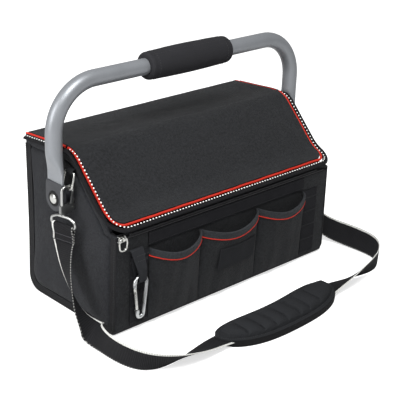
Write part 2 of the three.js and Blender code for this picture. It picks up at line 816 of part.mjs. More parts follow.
function buildHandle(parent) {
  const radius = TUBE / 2;
  // The foot of the flat is a half circle about the pivot.
  const feet = [0.98, 0.85, 0.6, 0.3].map((sine) => ({
    z: PIVOT_HEIGHT - FLAT_HALF * sine,
    width: FLAT_HALF * Math.sqrt(1 - sine ** 2),
    round: 0,
  }));
  const pressed = span(0, 1, 5).map((t) => ({
    z: FLAT_TOP + (ROUND_FROM - FLAT_TOP) * t,
    round: t * t * (3 - 2 * t),
  }));
  const stations = [...feet, { z: PIVOT_HEIGHT, round: 0 }, ...pressed];
  const arm = stations.map(({ z, round }) => vec(-flatX - FLAT_SET_IN * round, HANDLE_Y, z));
  const top = roundedPath(
    [
      [-armX, HANDLE_Y, ROUND_FROM + 1],
      [-armX, HANDLE_Y, HANDLE_HEIGHT, HANDLE_BEND],
      [armX, HANDLE_Y, HANDLE_HEIGHT, HANDLE_BEND],
      [armX, HANDLE_Y, ROUND_FROM + 1],
    ],
    false,
    15,
  ).slice(1, -1);
  const path = [...arm, ...top, ...arm.map((p) => vec(-p.x, p.y, p.z)).reverse()];
  const station = (i) => stations[Math.min(i, path.length - 1 - i)];
  const section = (i, inset = 0) => {
    const here = station(i) || { round: 1 };
    const wide = (here.width ?? FLAT_HALF + (radius - FLAT_HALF) * here.round) - inset;
    const deep = FLAT_THICK / 2 + (radius - FLAT_THICK / 2) * here.round - inset;
    const square = 0.4 + 0.6 * here.round;
    return span(0, 337.5, 15).map((a) => {
      const c = Math.cos(a * DEGREE);
      const s = Math.sin(a * DEGREE);
      return [wide * Math.sign(c) * Math.abs(c) ** square, deep * Math.sign(s) * Math.abs(s) ** square];
    });
  };
  const bored = (x) => rodX(HANDLE_Y, PIVOT_HEIGHT, RIVET_SHANK / 2 + SEAM_GAP, x - 9, x + 9);
  const alongDepth = () => vec(0, 1, 0);
  const tube = sweep(path, section, alongDepth);
  const hollow = sweep(
    path.slice(feet.length, -feet.length),
    (i) => section(i + feet.length, TUBE_WALL),
    alongDepth,
  );
  add(parent, "handle_tube", "tube", cut(tube, hollow, bored(-flatX), bored(flatX)));

  const bore = radius + SEAM_GAP;
  const gripRadius = GRIP_DIAMETER / 2;
  const end = GRIP_LENGTH / 2;
  // A barrel with rounded ends, from the bore of one end over the outside to the other.
  const barrel = span(-1, 1, 8).map((t) => [t * (end - GRIP_ROUND), gripRadius - (GRIP_TAPER / 2) * t * t]);
  const rounded = [0.35, 0.7, 1].map((t) => [
    end - GRIP_ROUND * (1 - t),
    gripRadius - GRIP_TAPER / 2 - GRIP_ROUND * (1 - Math.sqrt(1 - 0.9 * t * t)),
  ]);
  const flipped = rounded.map(([x, r]) => [-x, r]).reverse();
  const grip = [[-end, bore], ...flipped, ...barrel, ...rounded, [end, bore], [-end, bore]].map(([x, r]) => [
    x + GRIP_SHIFT,
    r,
  ]);
  add(parent, "handle_grip", "foam", turnedX(grip, HANDLE_Y, HANDLE_HEIGHT, 24));

  // A moulded boot over each flat end, open at the top.
  const bootOutline = (half, low, high) => {
    const foot = span(180, 360, 14).map((a) => [
      HANDLE_Y + half * Math.cos(a * DEGREE),
      low + half * Math.sin(a * DEGREE),
    ]);
    return [...foot, [HANDLE_Y + half, high], [HANDLE_Y - half, high]];
  };
  const boot = alongX(bootOutline(FLAT_HALF + SEAM_GAP + CAP_WALL, PIVOT_HEIGHT, CAP_TOP), capInner, capOuter);
  const pocket = alongX(
    bootOutline(FLAT_HALF + SEAM_GAP, PIVOT_HEIGHT, CAP_TOP + 5),
    capInner + CAP_WALL,
    capOuter - CAP_WALL,
  );
  addPair(parent, "handle_boot", "plastic", cut(boot, pocket, bored(flatX)));
}

function buildPivots(parent) {
  const panelOut = leanedX(halfLength, PIVOT_HEIGHT - SPACER_DIAMETER / 2) + SEAM_GAP;
  const panelIn = leanedX(halfLength - WALL, PIVOT_HEIGHT + PLATE_WIDTH / 2) - SEAM_GAP;
  const hole = circle(HANDLE_Y, PIVOT_HEIGHT, RIVET_SHANK / 2 + SEAM_GAP).reverse();
  const spacer = alongX(circle(HANDLE_Y, PIVOT_HEIGHT, SPACER_DIAMETER / 2, 28), panelOut, capInner - SEAM_GAP, [
    hole,
  ]);
  addPair(parent, "pivot_spacer", "plastic", spacer);

  const half = PLATE_WIDTH / 2;
  const plate = alongX(
    outline([
      [HANDLE_Y - half, PIVOT_HEIGHT - half, 6],
      [HANDLE_Y + half, PIVOT_HEIGHT - half, 6],
      [HANDLE_Y + half, PIVOT_HEIGHT + half, 6],
      [HANDLE_Y - half, PIVOT_HEIGHT + half, 6],
    ]),
    panelIn - PLATE_THICK,
    panelIn,
    [hole],
  );
  addPair(parent, "pivot_plate", "nickel", plate);

  const shank = RIVET_SHANK / 2;
  const head = RIVET_HEAD / 2;
  const inside = panelIn - PLATE_THICK - SEAM_GAP;
  const outside = capOuter + SEAM_GAP;
  const rivet = [
    [inside - RIVET_HEAD_HEIGHT, 0],
    [inside - RIVET_HEAD_HEIGHT, head * 0.6],
    [inside - RIVET_HEAD_HEIGHT / 2, head],
    [inside, head],
    [inside, shank],
    [outside, shank],
    [outside, head],
    [outside + RIVET_HEAD_HEIGHT * 0.5, head * 0.85],
    [outside + RIVET_HEAD_HEIGHT * 0.85, head * 0.5],
    [outside + RIVET_HEAD_HEIGHT, 0],
  ];
  addPair(parent, "pivot_rivet", "nickel", turnedX(rivet, HANDLE_Y, PIVOT_HEIGHT, 20));
}

// D-rings

const ringBarX = halfLength + RING_BAR_OUT;

function buildRings(parent) {
  // The ring's own plane hangs from the bar and tilts out at the bottom.
  const place = (y, drop) => [
    ringBarX + drop * Math.sin(RING_TILT * DEGREE),
    RING_Y + y,
    RING_BAR_HEIGHT - drop * Math.cos(RING_TILT * DEGREE),
  ];
  const path = roundedPath(
    [
      [...place(-RING_HALF, 0), 2.5],
      [...place(RING_HALF, 0), 2.5],
      [...place(RING_HALF, RING_DROP), 6],
      [...place(-RING_HALF, RING_DROP), 6],
    ],
    true,
    20,
  );
  const normal = vec(Math.cos(RING_TILT * DEGREE), 0, Math.sin(RING_TILT * DEGREE));
  addPair(parent, "d_ring", "nickel", wire(path, RING_WIRE, normal, true));

  // A webbing tab sewn to the panel above the ring and folded round its bar.
  const play = RING_WIRE / 2 + SEAM_GAP;
  const panel = leanedX(halfLength, RING_BAR_HEIGHT - play - TAB_THICK) + SEAM_GAP;
  const top = RING_BAR_HEIGHT + TAB_RISE;
  const bottom = RING_BAR_HEIGHT - play;
  const outer = outline([
    [panel, top],
    [panel, bottom - TAB_THICK, 2],
    [ringBarX + play + TAB_THICK, bottom - TAB_THICK, 3],
    [ringBarX + play + TAB_THICK, RING_BAR_HEIGHT + play + TAB_THICK - 0.2, 2.5],
    [panel + 2 * TAB_THICK + 0.4, top],
  ]);
  const inner = outline([
    [panel + TAB_THICK, RING_BAR_HEIGHT + play + 0.9, 0.3],
    [panel + TAB_THICK, bottom, 1.8],
    [ringBarX + play, bottom, 1.8],
    [ringBarX + play, RING_BAR_HEIGHT + play, 1.8],
  ]);
  const tab = alongY(outer, RING_Y - TAB_WIDTH / 2, RING_Y + TAB_WIDTH / 2, [inner.reverse()]);
  addPair(parent, "ring_tab", "webbing", tab);
}

// Snap hooks

const spineX = halfLength + HOOK_SPINE;
const noseX = halfLength + HOOK_NOSE;
const swivelX = halfLength + SWIVEL_OUT;

// Turned about the right swivel's upright axis, as the eye hangs on it.
const turnedOnSwivel = (geometry) =>
  geometry
    .translate(-swivelX, -HOOK_Y, 0)
    .rotateZ(-EYE_TURN * DEGREE)
    .translate(swivelX, HOOK_Y, 0);

function buildHooks(parent) {
  const block = alongY(
    outline([
      [noseX - 2, HOOK_BLOCK_HIGH, 2],
      [noseX - 2, GATE_PIN_HEIGHT - 4, 3],
      [swivelX - 5.6, HOOK_BLOCK_LOW, 3],
      [swivelX + 5.6, HOOK_BLOCK_LOW, 3],
      [swivelX + 5.6, HOOK_BLOCK_HIGH, 0.6],
    ]),
    HOOK_Y - HOOK_BLOCK_THICK / 2,
    HOOK_Y + HOOK_BLOCK_THICK / 2,
  );
  const jaw = roundedPath(
    [
      [spineX, HOOK_Y, HOOK_BLOCK_HIGH - 4],
      [spineX, HOOK_Y, HOOK_TOP, 6],
      [noseX, HOOK_Y, HOOK_TOP, 6],
      [noseX, HOOK_Y, NOSE_END],
    ],
    false,
    15,
  );
  const slotHalf = GATE_THICK / 2 + RUN_GAP;
  const pinX = noseX + 2.5;
  const slot = box(
    [noseX - 3, HOOK_Y - slotHalf, GATE_PIN_HEIGHT - 5],
    [pinX + 6.5, HOOK_Y + slotHalf, HOOK_BLOCK_HIGH + 1],
  );
  const socket = alongY(
    [
      [swivelX - STEM / 2 - RUN_GAP, HOOK_BLOCK_LOW - 1],
      [swivelX + STEM / 2 + RUN_GAP, HOOK_BLOCK_LOW - 1],
      [swivelX + STEM / 2 + RUN_GAP, HOOK_BLOCK_LOW + 5],
      [swivelX - STEM / 2 - RUN_GAP, HOOK_BLOCK_LOW + 5],
    ],
    HOOK_Y - HOOK_BLOCK_THICK,
    HOOK_Y + HOOK_BLOCK_THICK,
  );
  const pin = rodY(
    pinX,
    GATE_PIN_HEIGHT,
    GATE_PIN / 2,
    HOOK_Y - HOOK_BLOCK_THICK / 2 + 0.2,
    HOOK_Y + HOOK_BLOCK_THICK / 2 - 0.2,
    12,
  );
  const forked = cut(joined(block, wire(jaw, HOOK_WIRE, vec(0, 1, 0), false, 10)), slot, socket);
  addPair(parent, "hook_body", "nickel", joined(forked, pin));

  // A lever gate that closes up against the nose and pivots in the block's slot.
  const tip = NOSE_END - RUN_GAP;
  const gate = alongY(
    outline([
      [pinX - 2.4, GATE_PIN_HEIGHT - 2.4, 2.2],
      [pinX + 2.4, GATE_PIN_HEIGHT - 2.4, 2.2],
      [pinX + 2.4, GATE_PIN_HEIGHT + 4, 2],
      [noseX + 1.6, tip],
      [noseX - 1.6, tip],
      [noseX - 1.4, GATE_PIN_HEIGHT + 14],
      [noseX - 3, GATE_PIN_HEIGHT + 10, 1.5],
      [noseX - 1.4, GATE_PIN_HEIGHT + 6],
    ]),
    HOOK_Y - GATE_THICK / 2,
    HOOK_Y + GATE_THICK / 2,
    [circle(pinX, GATE_PIN_HEIGHT, GATE_PIN / 2 + SEAM_GAP, 14).reverse()],
  );
  addPair(parent, "hook_gate", "nickel", gate);

  // The swivelling eye hangs on a stem in the block's socket.
  const eyePath = roundedPath(
    [
      [swivelX, HOOK_Y - EYE_HALF, EYE_BAR_HEIGHT, 4],
      [swivelX, HOOK_Y + EYE_HALF, EYE_BAR_HEIGHT, 4],
      [swivelX, HOOK_Y + EYE_HALF, EYE_TOP_HEIGHT - 5, 5],
      [swivelX, HOOK_Y + EYE_HALF / 2, EYE_TOP_HEIGHT, 6],
      [swivelX, HOOK_Y - EYE_HALF / 2, EYE_TOP_HEIGHT, 6],
      [swivelX, HOOK_Y - EYE_HALF, EYE_TOP_HEIGHT - 5, 5],
    ],
    true,
    18,
  );
  const stem = alongY(
    [
      [swivelX - STEM / 2, EYE_TOP_HEIGHT],
      [swivelX + STEM / 2, EYE_TOP_HEIGHT],
      [swivelX + STEM / 2, HOOK_BLOCK_LOW + 5 - RUN_GAP],
      [swivelX - STEM / 2, HOOK_BLOCK_LOW + 5 - RUN_GAP],
    ],
    HOOK_Y - STEM / 2,
    HOOK_Y + STEM / 2,
  );
  const eye = turnedOnSwivel(wire(eyePath, EYE_WIRE, vec(1, 0, 0), true));
  addPair(parent, "hook_eye", "nickel", joined(eye, stem));
}

// Carabiner

const carabinerX = -ladderCentre - 2.5;
const carabinerY = trimBack - TRIM_THICK - CARABINER_Y_GAP - CARABINER_WIRE / 2;

function buildCarabiner(parent) {
  const topLeft = [carabinerX - CARABINER_TOP_HALF, CARABINER_TOP];
  const lowLeft = [carabinerX - CARABINER_LOW_HALF, CARABINER_LOW];
  // The left side's line, on which the gate lies.
  const onSide = (z) => {
    const t = (z - lowLeft[1]) / (topLeft[1] - lowLeft[1]);
    return lowLeft[0] + (topLeft[0] - lowLeft[0]) * t;
  };
  const path = roundedPath(
    [
      [onSide(GATE_HIGH), carabinerY, GATE_HIGH],
      [topLeft[0], carabinerY, CARABINER_TOP, CARABINER_TOP_RADIUS],
      [carabinerX + CARABINER_TOP_HALF, carabinerY, CARABINER_TOP, CARABINER_TOP_RADIUS],
      [carabinerX + CARABINER_LOW_HALF, carabinerY, CARABINER_LOW, 4.6],
      [lowLeft[0], carabinerY, CARABINER_LOW, 4.6],
      [onSide(GATE_LOW), carabinerY, GATE_LOW],
    ],
    false,
    15,
  );
  const pinZ = GATE_LOW - 4;
  const pinX = onSide(pinZ);
  const slotHalf = 1.3;
  const slot = box(
    [pinX - 6, carabinerY - slotHalf, pinZ - 3],
    [pinX + 6, carabinerY + slotHalf, GATE_LOW + 3],
  );
  const pin = rodY(pinX, pinZ, 0.9, carabinerY - 2.6, carabinerY + 2.6, 10);
  const body = cut(wire(path, CARABINER_WIRE, vec(0, 1, 0), false, 10), slot);
  add(parent, "carabiner_body", "nickel", joined(body, pin));

  const foot = GATE_LOW + GATE_FOOT_GAP;
  const tip = GATE_HIGH - RUN_GAP;
  const rod = wire(
    span(foot, tip, 2).map((z) => vec(onSide(z), carabinerY, z)),
    GATE_ROD,
    vec(0, 1, 0),
    false,
    10,
  );
  const tongue = alongY(
    outline([
      [pinX - 2, pinZ - 2, 1.8],
      [pinX + 2, pinZ - 2, 1.8],
      [onSide(foot + 3) + 2, foot + 3],
      [onSide(foot + 3) - 2, foot + 3],
    ]),
    carabinerY - slotHalf + RUN_GAP,
    carabinerY + slotHalf - RUN_GAP,
    [circle(pinX, pinZ, 0.9 + SEAM_GAP, 12).reverse()],
  );
  add(parent, "carabiner_gate", "nickel", joined(rod, tongue));

  // The loop is one webbing band, sewn together at the top and bent round the wire below.
  const play = CARABINER_WIRE / 2 + 2.2;
  const back = trimBack - TRIM_THICK - SEAM_GAP;
  const bottom = CARABINER_TOP - CARABINER_WIRE / 2 - LOOP_BOTTOM_PLAY;
  const outer = outline([
    [back, LOOP_TOP],
    [back - 2 * LOOP_THICK - 0.5, LOOP_TOP],
    [carabinerY - play - LOOP_THICK, CARABINER_TOP + 12, 10],
    [carabinerY - play - LOOP_THICK, bottom - LOOP_THICK, 5],
    [back, bottom - LOOP_THICK, 5],
  ]);
  const inner = outline([
    [back - LOOP_THICK, LOOP_TOP - 14, 0.2],
    [carabinerY - play, CARABINER_TOP + 11.6, 9],
    [carabinerY - play, bottom, 4],
    [back - LOOP_THICK, bottom, 4],
  ]);
  const loop = alongX(outer, -0.5, 0.5, [inner.reverse()]);
  const p = loop.attributes.position;
  for (let i = 0; i < p.count; i++) {
    const share = (LOOP_TOP - p.getZ(i)) / (LOOP_TOP - CARABINER_TOP);
    const width = LOOP_WIDTH + (LOOP_FOOT_WIDTH - LOOP_WIDTH) * Math.min(1, share);
    p.setX(i, carabinerX + LOOP_SKEW * (Math.min(1, share) - 1) + p.getX(i) * width);
  }
  add(parent, "carabiner_loop", "webbing", loop);
}

// Shoulder strap

// The strap's centre line and the direction from its plain edge to its bright edge.
const STRAP_ROUTE = [
  [[-250, -13, 127], [-0.22, 0.98, 0]],
  [[-250, -13.2, 121], [-0.18, 0.98, -0.05]],
  [[-253, -18.5, 101], [0.05, 0.92, -0.38]],
  [[-257, -31, 79], [0.26, 0.74, -0.62]],
  [[-261, -48, 58], [0.52, 0.55, -0.65]],
  [[-264, -66, 41], [0.74, 0.42, -0.48]],
  [[-265.5, -83, 31.5], [0.82, 0.48, -0.25]],
  [[-261, -94, 19.5], [0.6, 0.68, 0.42]],
  [[-263, -104, 18.2], [0.33, 0.53, 0.78]],
  [[-268, -119, 20.5], [0.05, 0.17, 0.98]],
  [[-271.5, -134, 21], [-0.04, 0, 1]],
  [[-273.5, -160, 20.6], [-0.06, -0.04, 1]],
  [[-268, -195, 20.2], [-0.12, -0.12, 0.98]],
  [[-254, -213, 18.8], [-0.16, -0.34, 0.92]],
  [[-232, -224, 16.2], [-0.07, -0.62, 0.78]],
  [[-206, -227, 13.7], [0.05, -0.77, 0.64]],
  [[-180, -225, 10.2], [0.1, -0.88, 0.46]],
  [[-155, -221, 6.8], [0.08, -0.97, 0.22]],
  [[-126, -217, 5.5], [0, -1, 0]],
  [[-100, -220, 5.5], [0, -1, 0]],
  [[-20, -227, 5.5], [0, -1, 0]],
  [[70, -222, 5.5], [0, -1, 0]],
  [[114, -214, 5.5], [0, -1, 0]],
  [[134, -212, 5.3], [0, -1, 0]],
  [[153, -216.5, 9.6], [-0.13, -0.92, 0.37]],
  [[177, -220.5, 15.8], [-0.11, -0.72, 0.68]],
  [[205, -221, 19.6], [-0.04, -0.37, 0.93]],
  [[232, -218.5, 20.6], [-0.04, -0.07, 1]],
  [[255, -209, 21.2], [-0.1, 0.04, 0.99]],
  [[272, -193, 21.6], [-0.11, 0.1, 0.99]],
  [[280.5, -172, 21], [0.04, 0.1, 0.99]],
  [[284, -135, 19.5], [0.36, 0.05, 0.93]],
  [[281.5, -97, 18.8], [0.63, 0.09, 0.77]],
  [[276.5, -74, 22.5], [0.84, 0.12, 0.5]],
  [[269.5, -54, 34.5], [0.96, 0.2, 0.15]],
  [[262.5, -37, 54], [0.93, 0.36, -0.04]],
  [[257, -25, 76], [0.8, 0.58, -0.08]],
  [[252.8, -16.5, 100], [0.55, 0.83, -0.06]],
  [[250, -13.2, 121], [0.25, 0.97, 0]],
  [[250, -13, 127], [0.22, 0.98, 0]],
];
const STRAP_STEPS = 79;

function buildStrap(parent) {
  // Each end of the strap is turned round the eye's lower bar and sewn to itself.
  const play = EYE_WIRE / 2 + SEAM_GAP;
  const reach = play + WEBBING_THICK;
  const turn = alongY(
    outline([
      [swivelX - WEBBING_THICK - 0.4, FOLD_BOTTOM],
      [swivelX + WEBBING_THICK + 0.4, FOLD_BOTTOM],
      [swivelX + WEBBING_THICK + 0.6, EYE_BAR_HEIGHT - 12, 6],
      [swivelX + reach, EYE_BAR_HEIGHT - 3, 6],
      [swivelX + reach, EYE_BAR_HEIGHT + reach, 3.4],
      [swivelX - reach, EYE_BAR_HEIGHT + reach, 3.4],
      [swivelX - reach, EYE_BAR_HEIGHT - 3, 6],
      [swivelX - WEBBING_THICK - 0.6, EYE_BAR_HEIGHT - 12, 6],
    ]),
    HOOK_Y - WEBBING / 2,
    HOOK_Y + WEBBING / 2,
    [
      outline([
        [swivelX, EYE_BAR_HEIGHT - 9, 0.3],
        [swivelX + play, EYE_BAR_HEIGHT - 3, 4],
        [swivelX + play, EYE_BAR_HEIGHT + play, 2],
        [swivelX - play, EYE_BAR_HEIGHT + play, 2],
        [swivelX - play, EYE_BAR_HEIGHT - 3, 4],
      ]).reverse(),
    ],
  );
  addPair(parent, "strap_turn", "webbing", turnedOnSwivel(turn));

  const centre = new THREE.CatmullRomCurve3(STRAP_ROUTE.map(([p]) => vec(...p)), false, "centripetal");
  const count = STRAP_ROUTE.length - 1;
  const path = span(0, 1, STRAP_STEPS).map((t) => centre.getPoint(t));
  const bright = (i) => {
    const t = (i / STRAP_STEPS) * count;
    const k = Math.min(count - 1, Math.floor(t));
    return vec(...STRAP_ROUTE[k][1]).lerp(vec(...STRAP_ROUTE[k + 1][1]), t - k);
  };
  const half = WEBBING / 2;
  const thick = WEBBING_THICK / 2;
  const section = [
    [-half, -thick * 0.4],
    [-half + 1, -thick],
    [half - 1, -thick],
    [half, -thick * 0.4],
    [half, thick * 0.4],
    [half - 1, thick],
    [-half + 1, thick],
    [-half, thick * 0.4],
  ];
  add(parent, "shoulder_strap", "webbing", sweep(path, section, bright, false, true));
}

// Half the pad's width at a share of its length from -1 to 1, narrower at the waist.
function padHalfWidth(share, half) {
  const round = Math.abs(share) ** 5;
  return (half - PAD_WAIST * Math.cos((share * Math.PI) / 2) ** 2) * Math.sqrt(Math.max(0, 1 - round));
}

// The pad's middle line, which bows back at both ends.
const padMiddle = (share) => PAD_Y + PAD_BOW * share ** 2 + PAD_SKEW * share;

function buildPad(parent) {
  const strapTop = PAD_BACKING + 2 * SEAM_GAP + WEBBING_THICK + 0.3;
  const flangeTop = strapTop + PAD_FLANGE_THICK;
  const halfPad = PAD_LENGTH / 2;
  const lastSeam = PAD_FIRST_SEAM + (PAD_SEAMS - 1) * PAD_SEAM_PITCH;
  const rounding = [0.995, 0.985, 0.96, 0.92, 0.87, 0.8];
  const stations = [
    ...rounding.map((s) => -s * halfPad).filter((x) => x < PAD_FIRST_SEAM),
    ...span(PAD_FIRST_SEAM, lastSeam, (PAD_SEAMS - 1) * 6),
    ...span(lastSeam, rounding.at(-1) * halfPad, 6).slice(1, -1),
    ...rounding.map((s) => s * halfPad).reverse(),
  ];
  const rings = stations.map((x) => {
    const share = x / halfPad;
    const middle = padMiddle(share);
    const half = padHalfWidth(share, PAD_HALF_WIDTH);
    const crownHalf = Math.max(half * 0.3, half - PAD_FLANGE);
    const lengthRoom = Math.max(0, 1 - Math.abs(x) / (halfPad - PAD_FLANGE));
    const fade = Math.min(1, Math.sqrt(lengthRoom * 6));
    const phase = Math.max(-0.5, Math.min(PAD_SEAMS - 0.5, (x - PAD_FIRST_SEAM) / PAD_SEAM_PITCH));
    const seam = 1 - Math.abs(Math.sin(Math.PI * phase)) ** 0.4;
    const crown = Math.max(0.05, fade) * (PAD_CROWN - PAD_SEAM_DEPTH * seam);
    const dome = [-1, -0.8, -0.45, 0, 0.45, 0.8, 1].map((s) =>
      vec(PAD_X + x, middle + s * crownHalf, flangeTop + crown * (1 - Math.abs(s) ** 3)),
    );
    return [
      vec(PAD_X + x, middle + half - 1, strapTop),
      vec(PAD_X + x, middle - half + 1, strapTop),
      vec(PAD_X + x, middle - half, strapTop + 1),
      vec(PAD_X + x, middle - half, flangeTop - 1),
      ...dome,
      vec(PAD_X + x, middle + half, flangeTop - 1),
      vec(PAD_X + x, middle + half, strapTop + 1),
    ];
  });
  add(parent, "shoulder_pad", "foam", skin(rings));

  const plan = span(-1, 1, 24).map((s) => Math.sign(s) * Math.abs(s) ** 0.8 * 0.97);
  const edge = (side) =>
    plan.map((s) => [PAD_X + s * halfPad, padMiddle(s) + side * padHalfWidth(s, PAD_HALF_WIDTH - 1)]);
  const backing = extruded([...edge(-1), ...edge(1).reverse()], PAD_BACKING, []);
  add(parent, "pad_backing", "webbing", backing);
}

const lid = group();
const lidFront = group(lid);
buildBody(group());
buildLid(lidFront, lid);
buildFrontTrims(group());
buildPockets(group());
buildZip(group(), lidFront);
buildHandle(group());
buildPivots(group());
buildRings(group());
buildHooks(group());
buildCarabiner(group());
buildStrap(group());
buildPad(group());

export default bag;
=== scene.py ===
"""A tool bag of dark woven cloth over foam, with a zipped folding lid, a swinging tube handle,
three front pockets, a carabiner on a loop, and a padded shoulder strap on two snap hooks.
Sizes are millimetres until a mesh is made; +Z is up and the pockets face -Y."""
import math

import bmesh
import bpy
from mathutils import Matrix, Vector, noise


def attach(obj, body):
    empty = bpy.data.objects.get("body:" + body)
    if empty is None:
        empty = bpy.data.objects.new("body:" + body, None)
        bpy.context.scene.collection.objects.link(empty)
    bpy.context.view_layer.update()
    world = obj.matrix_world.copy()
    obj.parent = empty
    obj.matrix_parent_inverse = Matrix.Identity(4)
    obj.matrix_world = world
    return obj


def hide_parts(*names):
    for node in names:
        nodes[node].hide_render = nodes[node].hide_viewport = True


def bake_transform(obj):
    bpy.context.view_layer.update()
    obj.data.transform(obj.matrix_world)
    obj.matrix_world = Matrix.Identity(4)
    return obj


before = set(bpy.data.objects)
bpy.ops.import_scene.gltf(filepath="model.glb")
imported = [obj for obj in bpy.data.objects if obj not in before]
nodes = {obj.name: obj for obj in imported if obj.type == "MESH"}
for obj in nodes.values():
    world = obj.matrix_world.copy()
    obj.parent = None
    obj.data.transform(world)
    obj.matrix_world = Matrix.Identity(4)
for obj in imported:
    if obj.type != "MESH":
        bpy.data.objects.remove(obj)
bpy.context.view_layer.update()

# The view
# A long lens from the front left and above, tilted a little, as the bag was photographed.
VIEW_FROM = (-1111.2, -1173.1, 812.1)
VIEW_AZIMUTH = math.radians(-44.37)
VIEW_ELEVATION = math.radians(23.12)
VIEW_ROLL = math.radians(2.26)
VIEW_LENS = 98.17

view_back = Vector((
    math.sin(VIEW_AZIMUTH) * math.cos(VIEW_ELEVATION),
    -math.cos(VIEW_AZIMUTH) * math.cos(VIEW_ELEVATION),
    math.sin(VIEW_ELEVATION),
))
level_right = Vector((math.cos(VIEW_AZIMUTH), math.sin(VIEW_AZIMUTH), 0))
level_up = view_back.cross(level_right)
view_right = level_right * math.cos(VIEW_ROLL) + level_up * math.sin(VIEW_ROLL)
view_up = level_up * math.cos(VIEW_ROLL) - level_right * math.sin(VIEW_ROLL)
camera = bpy.data.objects.new("view_camera", bpy.data.cameras.new("view_camera"))
bpy.context.scene.collection.objects.link(camera)
camera.data.sensor_width = 36
camera.data.lens = VIEW_LENS
camera.data.clip_end = 50
camera.matrix_world = Matrix.Translation(Vector(VIEW_FROM) / 1000) @ Matrix(
    (view_right, view_up, view_back)
).transposed().to_4x4()
bpy.context.scene.camera = camera
bpy.context.scene.view_settings.view_transform = "Standard"

# Shoulder strap
# One length of 38 mm webbing, ribbed across, with a bright reflective edge woven in on one side
# and a thin dotted one on the other. It falls from each hook, twists and lies on edge on the floor.
STRAP_WIDTH = 38
STRAP_THICK = 1.6
STRAP_STEPS = 420
PATH_EASING = 90
TWIST_EASING = 700
CLOTH_SHINE = 0.15
STRAP_ROUTE = [
    ((-250, -13, 127), (-0.22, 0.98, 0)),
    ((-250, -13.2, 121), (-0.18, 0.98, -0.05)),
    ((-253, -18.5, 101), (0.05, 0.92, -0.38)),
    ((-257, -31, 79), (0.26, 0.74, -0.62)),
    ((-261, -48, 58), (0.52, 0.55, -0.65)),
    ((-264, -66, 41), (0.74, 0.42, -0.48)),
    ((-265.5, -83, 31.5), (0.82, 0.48, -0.25)),
    ((-261, -94, 19.5), (0.6, 0.68, 0.42)),
    ((-263, -104, 18.2), (0.33, 0.53, 0.78)),
    ((-268, -119, 20.5), (0.05, 0.17, 0.98)),
    ((-271.5, -134, 21), (-0.04, 0, 1)),
    ((-273.5, -160, 20.6), (-0.06, -0.04, 1)),
    ((-268, -195, 20.2), (-0.12, -0.12, 0.98)),
    ((-254, -213, 18.8), (-0.16, -0.34, 0.92)),
    ((-232, -224, 16.2), (-0.07, -0.62, 0.78)),
    ((-206, -227, 13.7), (0.05, -0.77, 0.64)),
    ((-180, -225, 10.2), (0.1, -0.88, 0.46)),
    ((-155, -221, 6.8), (0.08, -0.97, 0.22)),
    ((-126, -217, 5.5), (0, -1, 0)),
    ((-100, -220, 5.5), (0, -1, 0)),
    ((-20, -227, 5.5), (0, -1, 0)),
    ((70, -222, 5.5), (0, -1, 0)),
    ((114, -214, 5.5), (0, -1, 0)),
    ((134, -212, 5.3), (0, -1, 0)),
    ((153, -216.5, 9.6), (-0.13, -0.92, 0.37)),
    ((177, -220.5, 15.8), (-0.11, -0.72, 0.68)),
    ((205, -221, 19.6), (-0.04, -0.37, 0.93)),
    ((232, -218.5, 20.6), (-0.04, -0.07, 1)),
    ((255, -209, 21.2), (-0.1, 0.04, 0.99)),
    ((272, -193, 21.6), (-0.11, 0.1, 0.99)),
    ((280.5, -172, 21), (0.04, 0.1, 0.99)),
    ((284, -135, 19.5), (0.36, 0.05, 0.93)),
    ((281.5, -97, 18.8), (0.63, 0.09, 0.77)),
    ((276.5, -74, 22.5), (0.84, 0.12, 0.5)),
    ((269.5, -54, 34.5), (0.96, 0.2, 0.15)),
    ((262.5, -37, 54), (0.93, 0.36, -0.04)),
    ((257, -25, 76), (0.8, 0.58, -0.08)),
    ((252.8, -16.5, 100), (0.55, 0.83, -0.06)),
    ((250, -13.2, 121), (0.25, 0.97, 0)),
    ((250, -13, 127), (0.22, 0.98, 0)),
]


class Level:
    """A number, colour or direction in a finish. Sums and products on it add nodes to the finish."""

    def __init__(self, finish, socket):
        self.finish = finish
        self.socket = socket

    def _math(self, operation, first, second=0.0):
        return self.finish.node("Math", {"operation": operation}, {0: first, 1: second})

    def __add__(self, other):
        return self._math("ADD", self, other)

    def __sub__(self, other):
        return self._math("SUBTRACT", self, other)

    def __rsub__(self, other):
        return self._math("SUBTRACT", other, self)

    def __mul__(self, other):
        return self._math("MULTIPLY", self, other)

    def __pow__(self, other):
        return self._math("POWER", self, other)

    def __gt__(self, other):
        return self._math("GREATER_THAN", self, other)

    def __lt__(self, other):
        return self._math("LESS_THAN", self, other)

    def wave(self, pitch):
        """Rises and falls from 0 to 1 once in each pitch."""
        return self._math("SINE", self * (2 * math.pi / pitch)) * 0.5 + 0.5


